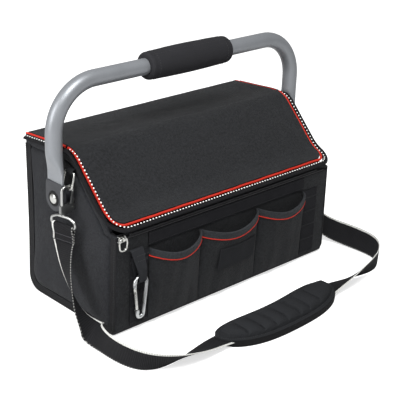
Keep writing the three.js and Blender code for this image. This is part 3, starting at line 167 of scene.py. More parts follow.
class Finish:
    """A material being mixed on the renderer's standard surface."""

    def __init__(self, name):
        self.material = bpy.data.materials.new(name)
        self.material.use_nodes = True
        self.tree = self.material.node_tree
        self.surface = self.tree.nodes["Principled BSDF"]

    def node(self, kind, settings=None, inputs=None, out=0):
        """Adds a node: its type, its settings, then the values or links of its sockets."""
        made = self.tree.nodes.new("ShaderNode" + kind)
        for key, value in (settings or {}).items():
            setattr(made, key, value)
        for key, value in (inputs or {}).items():
            self.feed(made.inputs[key], value)
        return Level(self, made.outputs[out])

    def feed(self, socket, value):
        if isinstance(value, Level):
            self.tree.links.new(value.socket, socket)
        elif socket.type == "RGBA":
            socket.default_value = (*value, 1)
        else:
            socket.default_value = value

    def place(self):
        """The point on the piece in metres."""
        return self.node("TexCoord", out="Object")

    def along(self, axis):
        """Metres across (X) or along (Y) the run of a piece."""
        run = self.node("UVMap", {"uv_map": "Run"})
        return self.node("SeparateXYZ", None, {0: run}, axis)

    def grain(self, scale, detail=2):
        """Noise around 0.5 with this many grains to a metre."""
        values = {"Vector": self.place(), "Scale": scale, "Detail": detail}
        return self.node("TexNoise", None, values)

    def between(self, share, low, high):
        """A colour between two colours."""
        return self.node("Mix", {"data_type": "RGBA"}, {0: share, 6: low, 7: high}, 2)

    def relief(self, height, depth):
        """The surface's direction over a height from 0 to 1 that stands depth metres high."""
        return self.node("Bump", None, {"Distance": depth, "Height": height})

    def coat(self, **values):
        """Sets the surface's own sockets and gives the finished material."""
        for key, value in values.items():
            self.feed(self.surface.inputs[key.replace("_", " ")], value)
        return self.material


def linear(code):
    """The colour of a six-digit code as the renderer's own numbers."""
    parts = [int(code[i : i + 2], 16) / 255 for i in (0, 2, 4)]
    return tuple(c / 12.92 if c <= 0.04045 else ((c + 0.055) / 1.055) ** 2.4 for c in parts)


def shown(name, points, faces, material, runs=None, crease=35):
    """An object from points in millimetres. runs gives each face corner's place along the piece."""
    mesh = bpy.data.meshes.new(name)
    mesh.from_pydata([(p[0] / 1000, p[1] / 1000, p[2] / 1000) for p in points], [], faces)
    if runs:
        layer = mesh.uv_layers.new(name="Run")
        layer.data.foreach_set("uv", [v for face in runs for corner in face for v in corner])
    mesh.polygons.foreach_set("use_smooth", [True] * len(mesh.polygons))
    mesh.set_sharp_from_angle(angle=math.radians(crease))
    mesh.materials.append(material)
    made = bpy.data.objects.new(name, mesh)
    bpy.context.scene.collection.objects.link(made)
    return made


def through(points, steps):
    """A centripetal curve through points, as steps + 1 places an even count apart."""
    given = [Vector(p) for p in points]
    given = [given[0] * 2 - given[1], *given, given[-1] * 2 - given[-2]]
    places = []
    for i in range(steps + 1):
        t = i / steps * (len(given) - 3)
        k = min(len(given) - 4, int(t))
        a, b, c, d = given[k : k + 4]
        ta, tb, tc = (max(0.01, (q - p).length) ** 0.5 for p, q in ((a, b), (b, c), (c, d)))
        start = ((b - a) / ta - (c - a) / (ta + tb) + (c - b) / tb) * tb
        end = ((c - b) / tb - (d - b) / (tb + tc) + (d - c) / tc) * tb
        s = t - k
        places.append(
            b * (2 * s**3 - 3 * s**2 + 1)
            + start * (s**3 - 2 * s**2 + s)
            + c * (3 * s**2 - 2 * s**3)
            + end * (s**3 - s**2)
        )
    return places


def ring_faces(count, around, closed=False):
    """The faces of a skin over rings of points, with a cap at each end of an open one."""
    faces = []
    for i in range(count if closed else count - 1):
        near, far = i * around, (i + 1) % count * around
        for k in range(around):
            m = (k + 1) % around
            faces.append((near + k, near + m, far + m, far + k))
    if not closed:
        last = (count - 1) * around
        faces += [tuple(reversed(range(around))), tuple(range(last, last + around))]
    return faces


def swept(name, path, section, across, material, closed=False):
    """A section [(a, b), ...] carried along a path. Section and across, the direction of a, may be
    functions of the point's number. The run is a across and the length along, in metres."""
    count = len(path)
    points, lengths, total = [], [], 0
    for i, here in enumerate(path):
        before = path[(i - 1) % count] if closed else path[max(0, i - 1)]
        after = path[(i + 1) % count] if closed else path[min(count - 1, i + 1)]
        tangent = (after - before).normalized()
        first = Vector(across(i) if callable(across) else across)
        first = (first - tangent * first.dot(tangent)).normalized()
        second = tangent.cross(first)
        outline = section(i) if callable(section) else section
        points += [here + first * a + second * b for a, b in outline]
        total += (here - path[i - 1]).length if i else 0
        lengths.append(total / 1000)
    wide = [a / 1000 for a, _ in (section(0) if callable(section) else section)]
    around = len(wide)
    faces = ring_faces(count, around, closed)
    lengths.append(total / 1000 + (path[0] - path[-1]).length / 1000)
    runs = []
    for near, far in zip(lengths, lengths[1:] if closed else lengths[1:-1]):
        for k in range(around):
            m = (k + 1) % around
            runs.append(((wide[k], near), (wide[m], near), (wide[m], far), (wide[k], far)))
    if not closed:
        runs += [[(w, 0) for w in reversed(wide)], [(w, lengths[-2]) for w in wide]]
    return outward(shown(name, points, faces, material, runs))


def outward(piece):
    """The same piece with its faces turned outwards."""
    mesh = bmesh.new()
    mesh.from_mesh(piece.data)
    if mesh.calc_volume(signed=True) < 0:
        bmesh.ops.reverse_faces(mesh, faces=mesh.faces)
    mesh.to_mesh(piece.data)
    mesh.free()
    return piece


def fitted(piece, body, slot, *solids):
    """Puts a piece on the body it moves with and in place of the solids it shows. The slot is not
    used.
    """
    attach(piece, body)
    if solids:
        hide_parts(*solids)


def flat_band(width, thick, columns=12):
    """A webbing's section with soft edges."""
    half = width / 2
    places = [-half + width * k / columns for k in range(columns + 1)]
    level = [thick / 2 * min(1, 0.45 + (half - abs(a)) / 1.2) for a in places]
    top = list(zip(places, level))
    return top + [(a, -b) for a, b in reversed(top)]


def shades(colour, *levels):
    """The same colour made darker and lighter by each factor: painted shade and light where a finish
    mixes them by its relief, plain changes of tone where it mixes them by grain.
    """
    return [tuple(c * level for c in colour) for level in levels]


def webbing_finish(name, ground, bright_from=None, dotted_to=None, rib=0.0021, slant=0.18):
    """Ribbed webbing with painted shade in the grooves between its ribs, a reflective edge past
    bright_from and dots up to dotted_to.
    """
    finish = Finish(name)
    across = finish.along("X")
    down = finish.along("Y")
    ribs = (down + across * slant).wave(rib)
    height = ribs * (across.wave(0.0016) * 0.45 + 0.55)
    dark, light = shades(ground, 0.5, 1.7)
    # Rib crests are painted lighter and grooves darker: painted shade, over random grain.
    colour = finish.between(height * 0.55 + finish.grain(60, 4) * 0.35, dark, light)
    rough = 0.86
    if bright_from is not None:
        edge = across + finish.grain(700) * 0.001 > bright_from
        # The silver edge is also painted lighter on its ribs and darker between them: painted shade,
        # mixed with grain.
        sheen = ribs * 0.6 + finish.grain(260) * 0.4
        silver = finish.between(sheen, linear("a9aaa6"), linear("e6e6e2"))
        colour = finish.between(edge, colour, silver)
        rough = 0.86 - edge * 0.3
    if dotted_to is not None:
        dots = (across < dotted_to) * (down.wave(0.0044) > 0.45)
        colour = finish.between(dots, colour, linear("8f8f8c"))
    return finish.coat(
        Base_Color=colour,
        Roughness=rough,
        Specular_IOR_Level=CLOTH_SHINE,
        Normal=finish.relief(height, 0.0004),
    )


strap_finish = webbing_finish(
    "strap_webbing", linear("1a1a1c"), bright_from=0.0162, dotted_to=-0.0174, rib=0.0031
)
strap_path = through([p for p, _ in STRAP_ROUTE], STRAP_STEPS)
strap_turns = through([w for _, w in STRAP_ROUTE], STRAP_STEPS)


def eased(line, passes):
    """The same run of points or directions with its short kinks drawn out."""
    for _ in range(passes):
        line = [line[0], *((a + b * 2 + c) / 4 for a, b, c in zip(line, line[1:], line[2:])), line[-1]]
    return line


strap_path = eased(strap_path, PATH_EASING)
for i, turn in enumerate(strap_turns):
    tangent = (strap_path[min(i + 1, STRAP_STEPS)] - strap_path[max(i - 1, 0)]).normalized()
    strap_turns[i] = (turn - tangent * turn.dot(tangent)).normalized()
strap_turns = eased(strap_turns, TWIST_EASING)
strap = swept(
    "shoulder_strap_webbing",
    strap_path,
    flat_band(STRAP_WIDTH, STRAP_THICK),
    lambda i: strap_turns[i],
    strap_finish,
)
strap_length = sum((b - a).length for a, b in zip(strap_path, strap_path[1:])) / 1000
fitted(strap, "bag", "webbing", "shoulder_strap")
tuple(c / 1000 for c in strap_path[0])
[tuple(c / 1000 for c in p) for p in strap_path[::3]]

# Shoulder pad
# A long foam pad under spacer mesh, sewn across in seven channels on a wide flat rim, and a
# smooth backing below. The strap runs between the two, and a seam round the rim closes them.
PAD_MIDDLE = (1.5, -227.5)
PAD_HALF_LENGTH = 128
PAD_HALF_WIDTH = 35
PAD_BOW = 16
PAD_SKEW = 4
PAD_WAIST = 2.5
PAD_RIM = 7.5
PAD_ROUND = 3.4
PAD_FOOT = 6.7
PAD_RIM_TOP = 10.7
PAD_TOP = 22.4
PAD_FOOT_REACH = 0.97
PAD_SHOULDER = 11
PAD_BACKING_FOOT = 0.2
PAD_BACKING_TOP = 4.2
PAD_CHANNELS = (-89, -62, -38, -14, 14, 38, 67)
CHANNEL_BOW = 2.5
RIM_TAPE_WIDTH = 10.6
RIM_TAPE_HEIGHT = 5.7
RIM_SEAM = 5.6


def pad_place(share, across):
    """The plan place at a share of the pad's length and of its half width, both -1 to 1."""
    x = PAD_MIDDLE[0] + PAD_HALF_LENGTH * share
    y = PAD_MIDDLE[1] + PAD_BOW * share**2 + PAD_SKEW * share
    waist = PAD_HALF_WIDTH - PAD_WAIST * math.cos(share * math.pi / 2) ** 2
    return x, y + across * waist * math.sqrt(max(0, 1 - abs(share) ** PAD_ROUND))


def pad_crown(share, across):
    """How high the cushion stands on the rim, from 0 to about 1."""
    end = (1 - abs(share)) * PAD_HALF_LENGTH
    half = PAD_HALF_WIDTH * math.sqrt(max(0.0001, 1 - abs(share) ** PAD_ROUND))
    side = (1 - abs(across)) * half
    inside = min(side, end * 0.8) - PAD_RIM
    if inside <= 0:
        return 0
    edge = min(1, inside / PAD_SHOULDER)
    crown = math.sqrt(1 - (1 - edge) ** 2) * (0.86 + 0.14 * (1 - across**2))
    x = PAD_MIDDLE[0] + PAD_HALF_LENGTH * share + CHANNEL_BOW * across**2
    nearest = min(abs(x - channel) for channel in PAD_CHANNELS)
    thread_pull = math.exp(-((nearest / 1.6) ** 2)) * 0.34
    sewn = thread_pull + math.exp(-((nearest / 7) ** 2)) * 0.24
    return crown * (1 - sewn * min(1, inside / 4))


def loft(name, rows, material, runs=lambda p: (p[0] / 1000, p[1] / 1000)):
    """A skin over rows of points of one length, closed round each row and capped at both ends."""
    points = [p for row in rows for p in row]
    faces = ring_faces(len(rows), len(rows[0]))
    places = [[runs(points[v]) for v in face] for face in faces]
    return outward(shown(name, points, faces, material, places))


def mesh_cloth_finish(name, ground):
    """Spacer mesh: small holes in offset rows, open enough to show as a fine grain, with painted shade
    in the holes.
    """
    finish = Finish(name)
    across, down = finish.along("X"), finish.along("Y")
    hole = (across.wave(0.0026) * down.wave(0.0022)) ** 2
    cloud = finish.grain(35, 3)
    dark, light = shades(ground, 0.55, 1.5)
    # The holes are painted darker than the threads round them: painted shade, over cloudy tone.
    colour = finish.between((1 - hole) * 0.6 + cloud * 0.4, dark, light)
    return finish.coat(
        Base_Color=colour,
        Roughness=0.88,
        Specular_IOR_Level=CLOTH_SHINE,
        Normal=finish.relief(1 - hole, 0.0004),
    )


def cloth_finish(name, ground, pitch=0.0013, mottle=0.5, depth=0.0005):
    """Woven cloth: a plain weave, its crossings painted lighter than the hollows between them as
    painted shade, with thread-by-thread and cloudy changes of tone.
    """
    finish = Finish(name)
    across, down = finish.along("X"), finish.along("Y")
    warp, weft = across.wave(pitch), down.wave(pitch)
    weave = warp * weft + (1 - warp) * (1 - weft)
    thread = (finish.grain(330, 3) - 0.5) * 3.2 + 0.5
    cloud = finish.grain(14, 4)
    # The weave term is painted shade of the weave's hollows; the thread and cloud terms are random
    # tone.
    share = weave * 0.25 + thread * mottle + cloud * 0.3
    dark, light = shades(ground, 0.4, 1.85)
    worn = finish.grain(45, 5) * 0.12
    height = weave * 0.7 + thread * 0.3
    return finish.coat(
        Base_Color=finish.between(share, dark, light),
        Roughness=0.9 - worn,
        Normal=finish.relief(height, depth),
        Specular_IOR_Level=CLOTH_SHINE,
        Sheen_Weight=0.05,
    )


pad_columns = [
    math.copysign(1 - (1 - abs(t)) ** 1.6, t) for t in (k / 80 - 1 for k in range(1, 160))
]
pad_across = [math.sin(math.pi / 2 * (k / 22 - 1)) * 0.15 + (k / 22 - 1) * 0.85 for k in range(45)]


def pad_height(share, across):
    """How high the cushion's top lies over the floor."""
    return PAD_RIM_TOP + (PAD_TOP - PAD_RIM_TOP) * pad_crown(share, across)


def pad_row(share):
    """The cushion's outline across the pad, over its top and back under its rim."""
    top = [(*pad_place(share, across), pad_height(share, across)) for across in pad_across]
    low, high = pad_place(share, -1), pad_place(share, 1)
    bulge = 1.1 * math.sqrt(max(0, 1 - abs(share) ** PAD_ROUND))
    middle = (PAD_FOOT + PAD_RIM_TOP) / 2
    far = [(high[0], high[1] + bulge, middle), (*pad_place(share, PAD_FOOT_REACH), PAD_FOOT)]
    near = [(*pad_place(share, -PAD_FOOT_REACH), PAD_FOOT), (low[0], low[1] - bulge, middle)]
    return top + far + near


pad_cushion = loft(
    "pad_cushion",
    [pad_row(share) for share in pad_columns],
    mesh_cloth_finish("pad_mesh", linear("1d1e20")),
)
fitted(pad_cushion, "bag", "pad_foam", "shoulder_pad")

backing_rows = []
for share in pad_columns[::3]:
    soft = 1.2 * math.sqrt(max(0, 1 - abs(share) ** PAD_ROUND))
    near, far = pad_place(share, -PAD_FOOT_REACH), pad_place(share, PAD_FOOT_REACH)
    front, back = pad_place(share, -1), pad_place(share, 1)
    backing_rows.append(
        [
            (*near, PAD_BACKING_FOOT),
            (*far, PAD_BACKING_FOOT),
            (back[0], back[1] + soft * 0.4, PAD_BACKING_TOP / 2),
            (*far, PAD_BACKING_TOP),
            (*near, PAD_BACKING_TOP),
            (front[0], front[1] - soft * 0.4, PAD_BACKING_TOP / 2),
        ]
    )
backing_cloth = cloth_finish("backing_cloth", linear("1d1e20"))
pad_backing = loft("pad_backing_cloth", backing_rows, backing_cloth)
fitted(pad_backing, "bag", "pad_foam", "pad_backing")

rim_finish = webbing_finish("pad_rim_tape", linear("141416"), rib=0.0013, slant=0)
for side, name in ((1, "back"), (-1, "front")):
    rim = []
    for k in range(61):
        share = 0.93 * math.sin(math.pi / 2 * (k / 30 - 1))
        x, y = pad_place(share, side)
        rim.append(Vector((x, y + side * 0.7, RIM_TAPE_HEIGHT)))
    rim_section = flat_band(RIM_TAPE_WIDTH, 1.4, 8)
    rim_tape = swept("pad_rim_" + name, rim, rim_section, (0, 0, 1), rim_finish)
    fitted(rim_tape, "bag", "webbing")


def sewn_tree():
    """The tree that sets one shape along a run at an even pitch, standing on the run's own up."""
    tree = bpy.data.node_groups.new("shapes_along_a_run", "GeometryNodeTree")
    for name, kind in (
        ("Run", "Geometry"), ("Shape", "Object"), ("Pitch", "Float"), ("Finish", "Material"),
    ):
        tree.interface.new_socket(name, in_out="INPUT", socket_type="NodeSocket" + kind)
    tree.interface.new_socket("Shapes", in_out="OUTPUT", socket_type="NodeSocketGeometry")

    def step(kind, **values):
        made = tree.nodes.new(kind)
        for key, value in values.items():
            setattr(made, key, value)
        return made

    given, made = step("NodeGroupInput"), step("NodeGroupOutput")
    line = step("GeometryNodeMeshToCurve")
    spaced = step("GeometryNodeResampleCurve", mode="LENGTH")
    spots = step("GeometryNodeCurveToPoints", mode="EVALUATED")
    rise = step("GeometryNodeInputNamedAttribute", data_type="FLOAT_VECTOR")
    rise.inputs["Name"].default_value = "rise"
    forward = step("FunctionNodeAlignRotationToVector", axis="X")
    stood = step("FunctionNodeAlignRotationToVector", axis="Z", pivot_axis="X")
    shape = step("GeometryNodeObjectInfo", transform_space="ORIGINAL")
    placed = step("GeometryNodeInstanceOnPoints")
    real = step("GeometryNodeRealizeInstances")
    finished = step("GeometryNodeSetMaterial")
    for start, end in (
        (given.outputs["Run"], line.inputs["Mesh"]),
        (line.outputs["Curve"], spaced.inputs["Curve"]),
        (given.outputs["Pitch"], spaced.inputs["Length"]),
        (spaced.outputs["Curve"], spots.inputs["Curve"]),
        (spots.outputs["Tangent"], forward.inputs["Vector"]),
        (forward.outputs["Rotation"], stood.inputs["Rotation"]),
        (rise.outputs["Attribute"], stood.inputs["Vector"]),
        (given.outputs["Shape"], shape.inputs["Object"]),
        (spots.outputs["Points"], placed.inputs["Points"]),
        (shape.outputs["Geometry"], placed.inputs["Instance"]),
        (stood.outputs["Rotation"], placed.inputs["Rotation"]),
        (placed.outputs["Instances"], real.inputs["Geometry"]),
        (real.outputs["Geometry"], finished.inputs["Geometry"]),
        (given.outputs["Finish"], finished.inputs["Material"]),
        (finished.outputs["Geometry"], made.inputs["Shapes"]),
    ):
        tree.links.new(start, end)
    return tree


shapes_along = sewn_tree()


def along_run(name, runs, shape, pitch, material):
    """One plain mesh of a shape repeated along each run, a list of (point, rise) pairs."""
    points, edges, rises = [], [], []
    for run in runs:
        edges += [(len(points) + k, len(points) + k + 1) for k in range(len(run) - 1)]
        points += [[c / 1000 for c in p] for p, _ in run]
        rises += [c for _, rise in run for c in rise]
    mesh = bpy.data.meshes.new(name + "_run")
    mesh.from_pydata(points, edges, [])
    mesh.attributes.new("rise", "FLOAT_VECTOR", "POINT").data.foreach_set("vector", rises)
    carrier = bpy.data.objects.new(name + "_run", mesh)
    bpy.context.scene.collection.objects.link(carrier)
    bpy.context.scene.collection.objects.link(shape)
    layout = carrier.modifiers.new("shapes", "NODES")
    layout.node_group = shapes_along
    sockets = {s.name: s.identifier for s in shapes_along.interface.items_tree if s.in_out == "INPUT"}
    layout[sockets["Shape"]] = shape
    layout[sockets["Pitch"]] = pitch / 1000
    layout[sockets["Finish"]] = material
    ready = carrier.evaluated_get(bpy.context.evaluated_depsgraph_get())
    plain = bpy.data.meshes.new_from_object(ready)
    plain.name = name
    made = bpy.data.objects.new(name, plain)
    bpy.context.scene.collection.objects.link(made)
    bpy.data.objects.remove(carrier)
    bpy.context.scene.collection.objects.unlink(shape)
    return made


def stitch_shape(length, thick):
    """One stitch of thread: a short rod with drawn-in ends."""
    rings = [(-0.5, 0), (-0.42, 0.6), (-0.2, 1), (0.2, 1), (0.42, 0.6), (0.5, 0)]
    sides = 6
    points, faces = [], []
    for x, r in rings:
        for k in range(sides):
            a = k * math.pi / 3
            flat = thick / 2000 * r
            points.append((x * length / 1000, math.cos(a) * flat, math.sin(a) * flat))
    for i in range(len(rings) - 1):
        near, far = i * sides, (i + 1) * sides
        for k in range(sides):
            m = (k + 1) % sides
            faces.append((near + k, far + k, far + m, near + m))
    mesh = bpy.data.meshes.new("stitch")
    mesh.from_pydata(points, [], faces)
    mesh.validate()
    mesh.polygons.foreach_set("use_smooth", [True] * len(mesh.polygons))
    return bpy.data.objects.new("stitch", mesh)


def thread_finish(name, ground):
    finish = Finish(name)
    dark, light = shades(ground, 0.75, 1.3)
    return finish.coat(Base_Color=finish.between(finish.grain(300), dark, light), Roughness=0.7)


dark_thread = thread_finish("dark_thread", linear("222325"))


def sewn(name, runs, length, thick, pitch, slot, thread=dark_thread, body="bag"):
    """Rows of stitches of one length, thickness and pitch, on a body. The slot is not used."""
    fitted(along_run(name, runs, stitch_shape(length, thick), pitch, thread), body, slot)


pad_seams = []
for side in (-1, 1):
    row = []
    for share in pad_columns[6:-6:2]:
        half = PAD_HALF_WIDTH * math.sqrt(1 - abs(share) ** PAD_ROUND)
        place = pad_place(share, side * (1 - RIM_SEAM / half))
        row.append(((*place, PAD_RIM_TOP + 0.3), (0, 0, 1)))
    pad_seams.append(row)
for channel in PAD_CHANNELS:
    row = []
    for k in range(25):
        across = -0.74 + 1.48 * k / 24
        share = (channel - PAD_MIDDLE[0] - CHANNEL_BOW * across**2) / PAD_HALF_LENGTH
        height = pad_height(share, across) + 0.15
        row.append(((*pad_place(share, across), height), (0, 0, 1)))
    pad_seams.append(row)
sewn("pad_stitches", pad_seams, 2.4, 0.8, 3.4, "pad_foam")

# Bag shell
# Dark woven cloth over foam board: one sheet runs down the front, under the base and up the back.
# It is stiff but soft, so the back and the foot swell a little between their seams.
HALF_LENGTH = 229
HALF_DEPTH = 105
END_LEAN = 0.0153
LEAN_HEIGHT = 256
FOOT_FRONT = 8
FOOT_BACK = 25
BOARD = 3
BACK_LEAN = 7.5
WALL_TOP_FRONT = 161
WALL_TOP_BACK = 247.6
WRAP_HALF = 225.6


def leaned(x, z):
    """The bag narrows towards its lid."""
    return x * (1 - END_LEAN * z / LEAN_HEIGHT)


def wrinkle(x, y, z, reach, seed=0):
    """Soft unevenness of cloth over foam, from about -1 to 1."""
    return noise.noise(Vector((x, y, z)) / reach + Vector((seed * 7.3, 0, 0)))


def held(value):
    """A number held between 0 and 1."""
    return min(1, max(0, value))


def set_back(y, z):
    """How far the slack back of the bag leans out behind, most at its top."""
    behind, high = held((y - 55) / 50), held((z - 80) / 165)
    return BACK_LEAN * behind * high**1.3


def cornered(points, closed=False, turn=9):
    """A line whose corners are rounded where a point carries a radius as a fourth number."""
    path = []
    for i, point in enumerate(points):
        here = Vector(point[:3])
        radius = point[3] if len(point) > 3 else 0
        if not radius or (not closed and i in (0, len(points) - 1)):
            path.append(here)
            continue
        to_last = (Vector(points[i - 1][:3]) - here).normalized()
        to_next = (Vector(points[(i + 1) % len(points)][:3]) - here).normalized()
        half = to_last.angle(to_next) / 2
        middle = here + (to_last + to_next).normalized() * (radius / math.sin(half))
        first = here + to_last * (radius / math.tan(half)) - middle
        last = here + to_next * (radius / math.tan(half)) - middle
        bend = math.pi - 2 * half
        steps = max(2, math.ceil(math.degrees(bend) / turn))
        for k in range(steps + 1):
            t = k / steps * bend
            spoke = (first * math.sin(bend - t) + last * math.sin(t)) / math.sin(bend)
            path.append(middle + spoke)
    return path


def spaced(path, pitch, closed=False):
    """The same line in even steps of about the pitch."""
    line = [*path, path[0]] if closed else list(path)
    lengths = [0]
    for a, b in zip(line, line[1:]):
        lengths.append(lengths[-1] + (b - a).length)
    steps = max(2, round(lengths[-1] / pitch))
    places, k = [], 0
    for i in range(steps if closed else steps + 1):
        here = lengths[-1] * i / steps
        while k < len(lengths) - 2 and lengths[k + 1] < here:
            k += 1
        share = (here - lengths[k]) / max(1e-9, lengths[k + 1] - lengths[k])
        places.append(line[k].lerp(line[k + 1], min(1, share)))
    return places


def cloth_panel(name, rows, thick, material, runs=None):
    """A sheet of cloth with a thickness: rows of points on its outer face, closed at its edges."""
    across, down = len(rows[0]), len(rows)
    normals = []
    for i in range(down):
        for j in range(across):
            along = Vector(rows[min(down - 1, i + 1)][j]) - Vector(rows[max(0, i - 1)][j])
            side = Vector(rows[i][min(across - 1, j + 1)]) - Vector(rows[i][max(0, j - 1)])
            normals.append(side.cross(along).normalized())
    outer = [Vector(p) for row in rows for p in row]
    inner = [p - n * thick for p, n in zip(outer, normals)]
    count = len(outer)
    where = runs or [
        [(sum(((Vector(rows[i][k + 1]) - Vector(rows[i][k])).length for k in range(j)), 0.0) / 1000,
          sum(((Vector(rows[k + 1][j]) - Vector(rows[k][j])).length for k in range(i)), 0.0) / 1000)
         for j in range(across)]
        for i in range(down)
    ]
    places = [where[v // across % down][v % across] for v in range(count)] * 2
    faces = []
    for i in range(down - 1):
        for j in range(across - 1):
            a, d = i * across + j, (i + 1) * across + j
            b, c = a + 1, d + 1
            faces += [(a, b, c, d), (a + count, d + count, c + count, b + count)]
    rim = (
        list(range(across))
        + [i * across + across - 1 for i in range(1, down)]
        + [(down - 1) * across + j for j in range(across - 2, -1, -1)]
        + [i * across for i in range(down - 2, 0, -1)]
    )
    for a, b in zip(rim, rim[1:] + rim[:1]):
        faces.append((b, a, a + count, b + count))
    corner_runs = [[places[v] for v in face] for face in faces]
    return outward(shown(name, outer + inner, faces, material, corner_runs, 40))


body_cloth = cloth_finish("body_cloth", linear("1e1f21"))
wall_line = spaced(
    cornered(
        [
            (0, -HALF_DEPTH, WALL_TOP_FRONT),
            (0, -HALF_DEPTH, 0, FOOT_FRONT),
            (0, HALF_DEPTH, 0, FOOT_BACK),
            (0, HALF_DEPTH, WALL_TOP_BACK),
        ]
    ),
    6,
)
wall_rows = []
for p in wall_line:
    row = []
    for k in range(61):
        t = k / 30 - 1
        x = leaned(WRAP_HALF, p.z) * t
        back = max(0, p.y - 60) / 45
        swell = 3.2 * back * (1 - t**6) * math.sin(math.pi * min(1, max(0, p.z) / 252)) ** 0.6
        dent = back * wrinkle(x, p.y, p.z, 70) * 2.2 * (1 - t**6)
        row.append((x, p.y + swell + dent + set_back(p.y, p.z), max(0, p.z)))
    wall_rows.append(row)
bag_wrap = cloth_panel("bag_wrap", wall_rows[::-1], BOARD, body_cloth)
fitted(bag_wrap, "bag", "body_fabric", "front_panel", "base_panel", "back_panel")

# End panels
# A padded panel closes each end of the shell. Only its edge seam holds it, so it stands out
# softly between the seam and the handle's rivet, with a few long dents.
SIDES = ((1, "right"), (-1, "left"))
END_TOP_BACK = 246.6
END_INSET = 0.8
END_RINGS = (0, 2, 6, 10.5, 12.4, 13.6, 14.8, 16, 18, 22, 27, 33)
UNDER_LID = (96, 84, 70, 56, 42, 28, 14, 2, -8, -20, -34, -48, -62, -76)
LID_SAG = 4.6
LID_LINE = cornered(
    [(0, 106, 256), (0, -1, 258.5, 35), (0, -73, 184, 60), (0, -108, 169.5)],
    turn=3,
)


def rear_sag(y):
    """How far the lid's rear half hangs below its line, most at the back."""
    return LID_SAG * max(0, (y - 30) / 75)


def lid_height(y):
    """The lid's top line over a place front to back."""
    for a, b in zip(LID_LINE, LID_LINE[1:]):
        if b.y <= y:
            break
    return a.z + (b.z - a.z) * (y - a.y) / (b.y - a.y) - rear_sag(y)


end_edge = cornered(
    [
        (0, -104.8, 158),
        (0, -104.8, 0, FOOT_FRONT),
        (0, HALF_DEPTH - END_INSET, 0, FOOT_BACK),
        (0, HALF_DEPTH - END_INSET, END_TOP_BACK),
    ]
)
end_edge += [Vector((0, y, lid_height(y) - 4.4)) for y in UNDER_LID]
end_edge = spaced(end_edge + [Vector((0, -90, 160))], 5, closed=True)


def end_stand(y, z, inset):
    """How far an end panel stands out at a place so many millimetres in from its edge."""
    low = held((168 - z) / 50)
    puff = 4.4 * math.sin(math.pi / 2 * min(1, max(0, inset - 11) / 26)) * low
    seam = -2.2 * math.exp(-(((inset - 14.2) / 1.8) ** 2))
    seat = min(1, max(0, math.hypot(y - 10, z - 187) - 18) / 30)
    folds = 2.0 * wrinkle(0, y * 1.6, z * 0.7, 46, seed=3) + 1.1 * wrinkle(0, y, z, 22, seed=5)
    folds *= min(1, max(0, inset - 12) / 16)
    folds *= held((176 - z) / 40)
    return (puff + folds) * seat + seam


# A touch lighter and bluer than the front's cloth: painted light and sheen on the end panel.
end_cloth = cloth_finish("end_cloth", linear("1f2023"))
end_middle = Vector((0, 4, 118))
ring_limit = END_RINGS[-1]
for side, name in SIDES:
    rings = []
    # Past the last ring in millimetres, six more close in by shares of what is left.
    for inset in (*END_RINGS, *(ring_limit + 0.14 * k for k in range(1, 7))):
        ring = []
        for p in end_edge:
            far = (end_middle - p).length
            deep = min(inset, ring_limit) + (far - ring_limit) * max(0, inset - ring_limit)
            q = p.lerp(end_middle, deep / far)
            stand = end_stand(q.y, q.z, deep) - (1.2 if inset == 0 else 0)
            x = side * (leaned(HALF_LENGTH, q.z) + stand)
            ring.append((x, q.y + set_back(q.y, q.z), q.z))
        rings.append(ring)
    inside = [(side * leaned(223, p.z), p.y + set_back(p.y, p.z), p.z) for p in end_edge]
    panel = loft(
        name + "_end_cloth", [inside, *rings], end_cloth, runs=lambda p: (p[1] / 1000, p[2] / 1000)
    )
    fitted(panel, "bag", "body_fabric", name + "_end_panel")

# End bindings
# Each end's edge is bound with a folded strip of smoother cloth, stitched down along its inner
# side, from under the lid in front, round the foot, and up to the lid behind.
BINDING_WIDTH = 13
BINDING_THICK = 3.2
BINDING_TOP_BACK = 239
binding_cloth = cloth_finish(
    "binding_cloth", linear("151517"), pitch=0.0009, mottle=0.3, depth=0.0002
)


def binding_section(width, thick):
    """A folded strip: rolled at its outer edge and flat at its stitched one."""
    half = width / 2
    return [
        (-half, 0.1), (-half + 0.8, thick * 0.75), (-half + 2.6, thick), (-half + 6, thick * 0.95),
        (half - 3.4, thick * 0.8), (half - 2.4, thick * 0.55), (half - 1.2, thick * 0.75),
        (half - 0.2, thick * 0.5), (half, 0.1), (half - 0.2, -0.1), (-half + 0.2, -0.1),
    ]


for side, name in SIDES:
    inset = BINDING_WIDTH / 2
    line = spaced(
        cornered(
            [
                (0, -HALF_DEPTH + inset, 157),
                (0, -HALF_DEPTH + inset, inset, 5),
                (0, HALF_DEPTH - inset, inset, FOOT_BACK - inset),
                (0, HALF_DEPTH - inset, BINDING_TOP_BACK),
            ]
        ),
        6,
    )
    path = []
    for p in line:
        x = side * (leaned(HALF_LENGTH, p.z) + 0.3)
        path.append(Vector((x, p.y + set_back(p.y, p.z), p.z)))
    outs = []
    for i, p in enumerate(path):
        step = path[min(len(path) - 1, i + 1)] - path[max(0, i - 1)]
        outs.append(step.normalized().cross(Vector((side, 0, 0))))
    section = [(a * -side, b * -side) for a, b in binding_section(BINDING_WIDTH, BINDING_THICK)]
    strip = swept(name + "_binding_cloth", path, section, lambda i: outs[i], binding_cloth)
    seam = [
        (p - out * 4.1 + Vector((side * 1.7, 0, 0)), (side, 0, 0))
        for p, out in zip(path, outs)
    ]
    fitted(strip, "bag", "body_fabric", name + "_end_binding")
    sewn(name + "_binding_stitches", [seam], 2.6, 0.8, 3.8, "body_fabric")

# Lid cloth
# One panel of the same cloth, stiffened inside, sewn to the back of the bag. It lies flat over the
# rear half, folds at a crease near the handle, and its front half drops over the zip.
FOLD_Y = 14
LID_THICK = 3
LID_HALF = 220
LID_BACK = 104.6
LID_FRONT = -99.9
LID_CORNER = 16
LID_SEAM_HEIGHT = 250

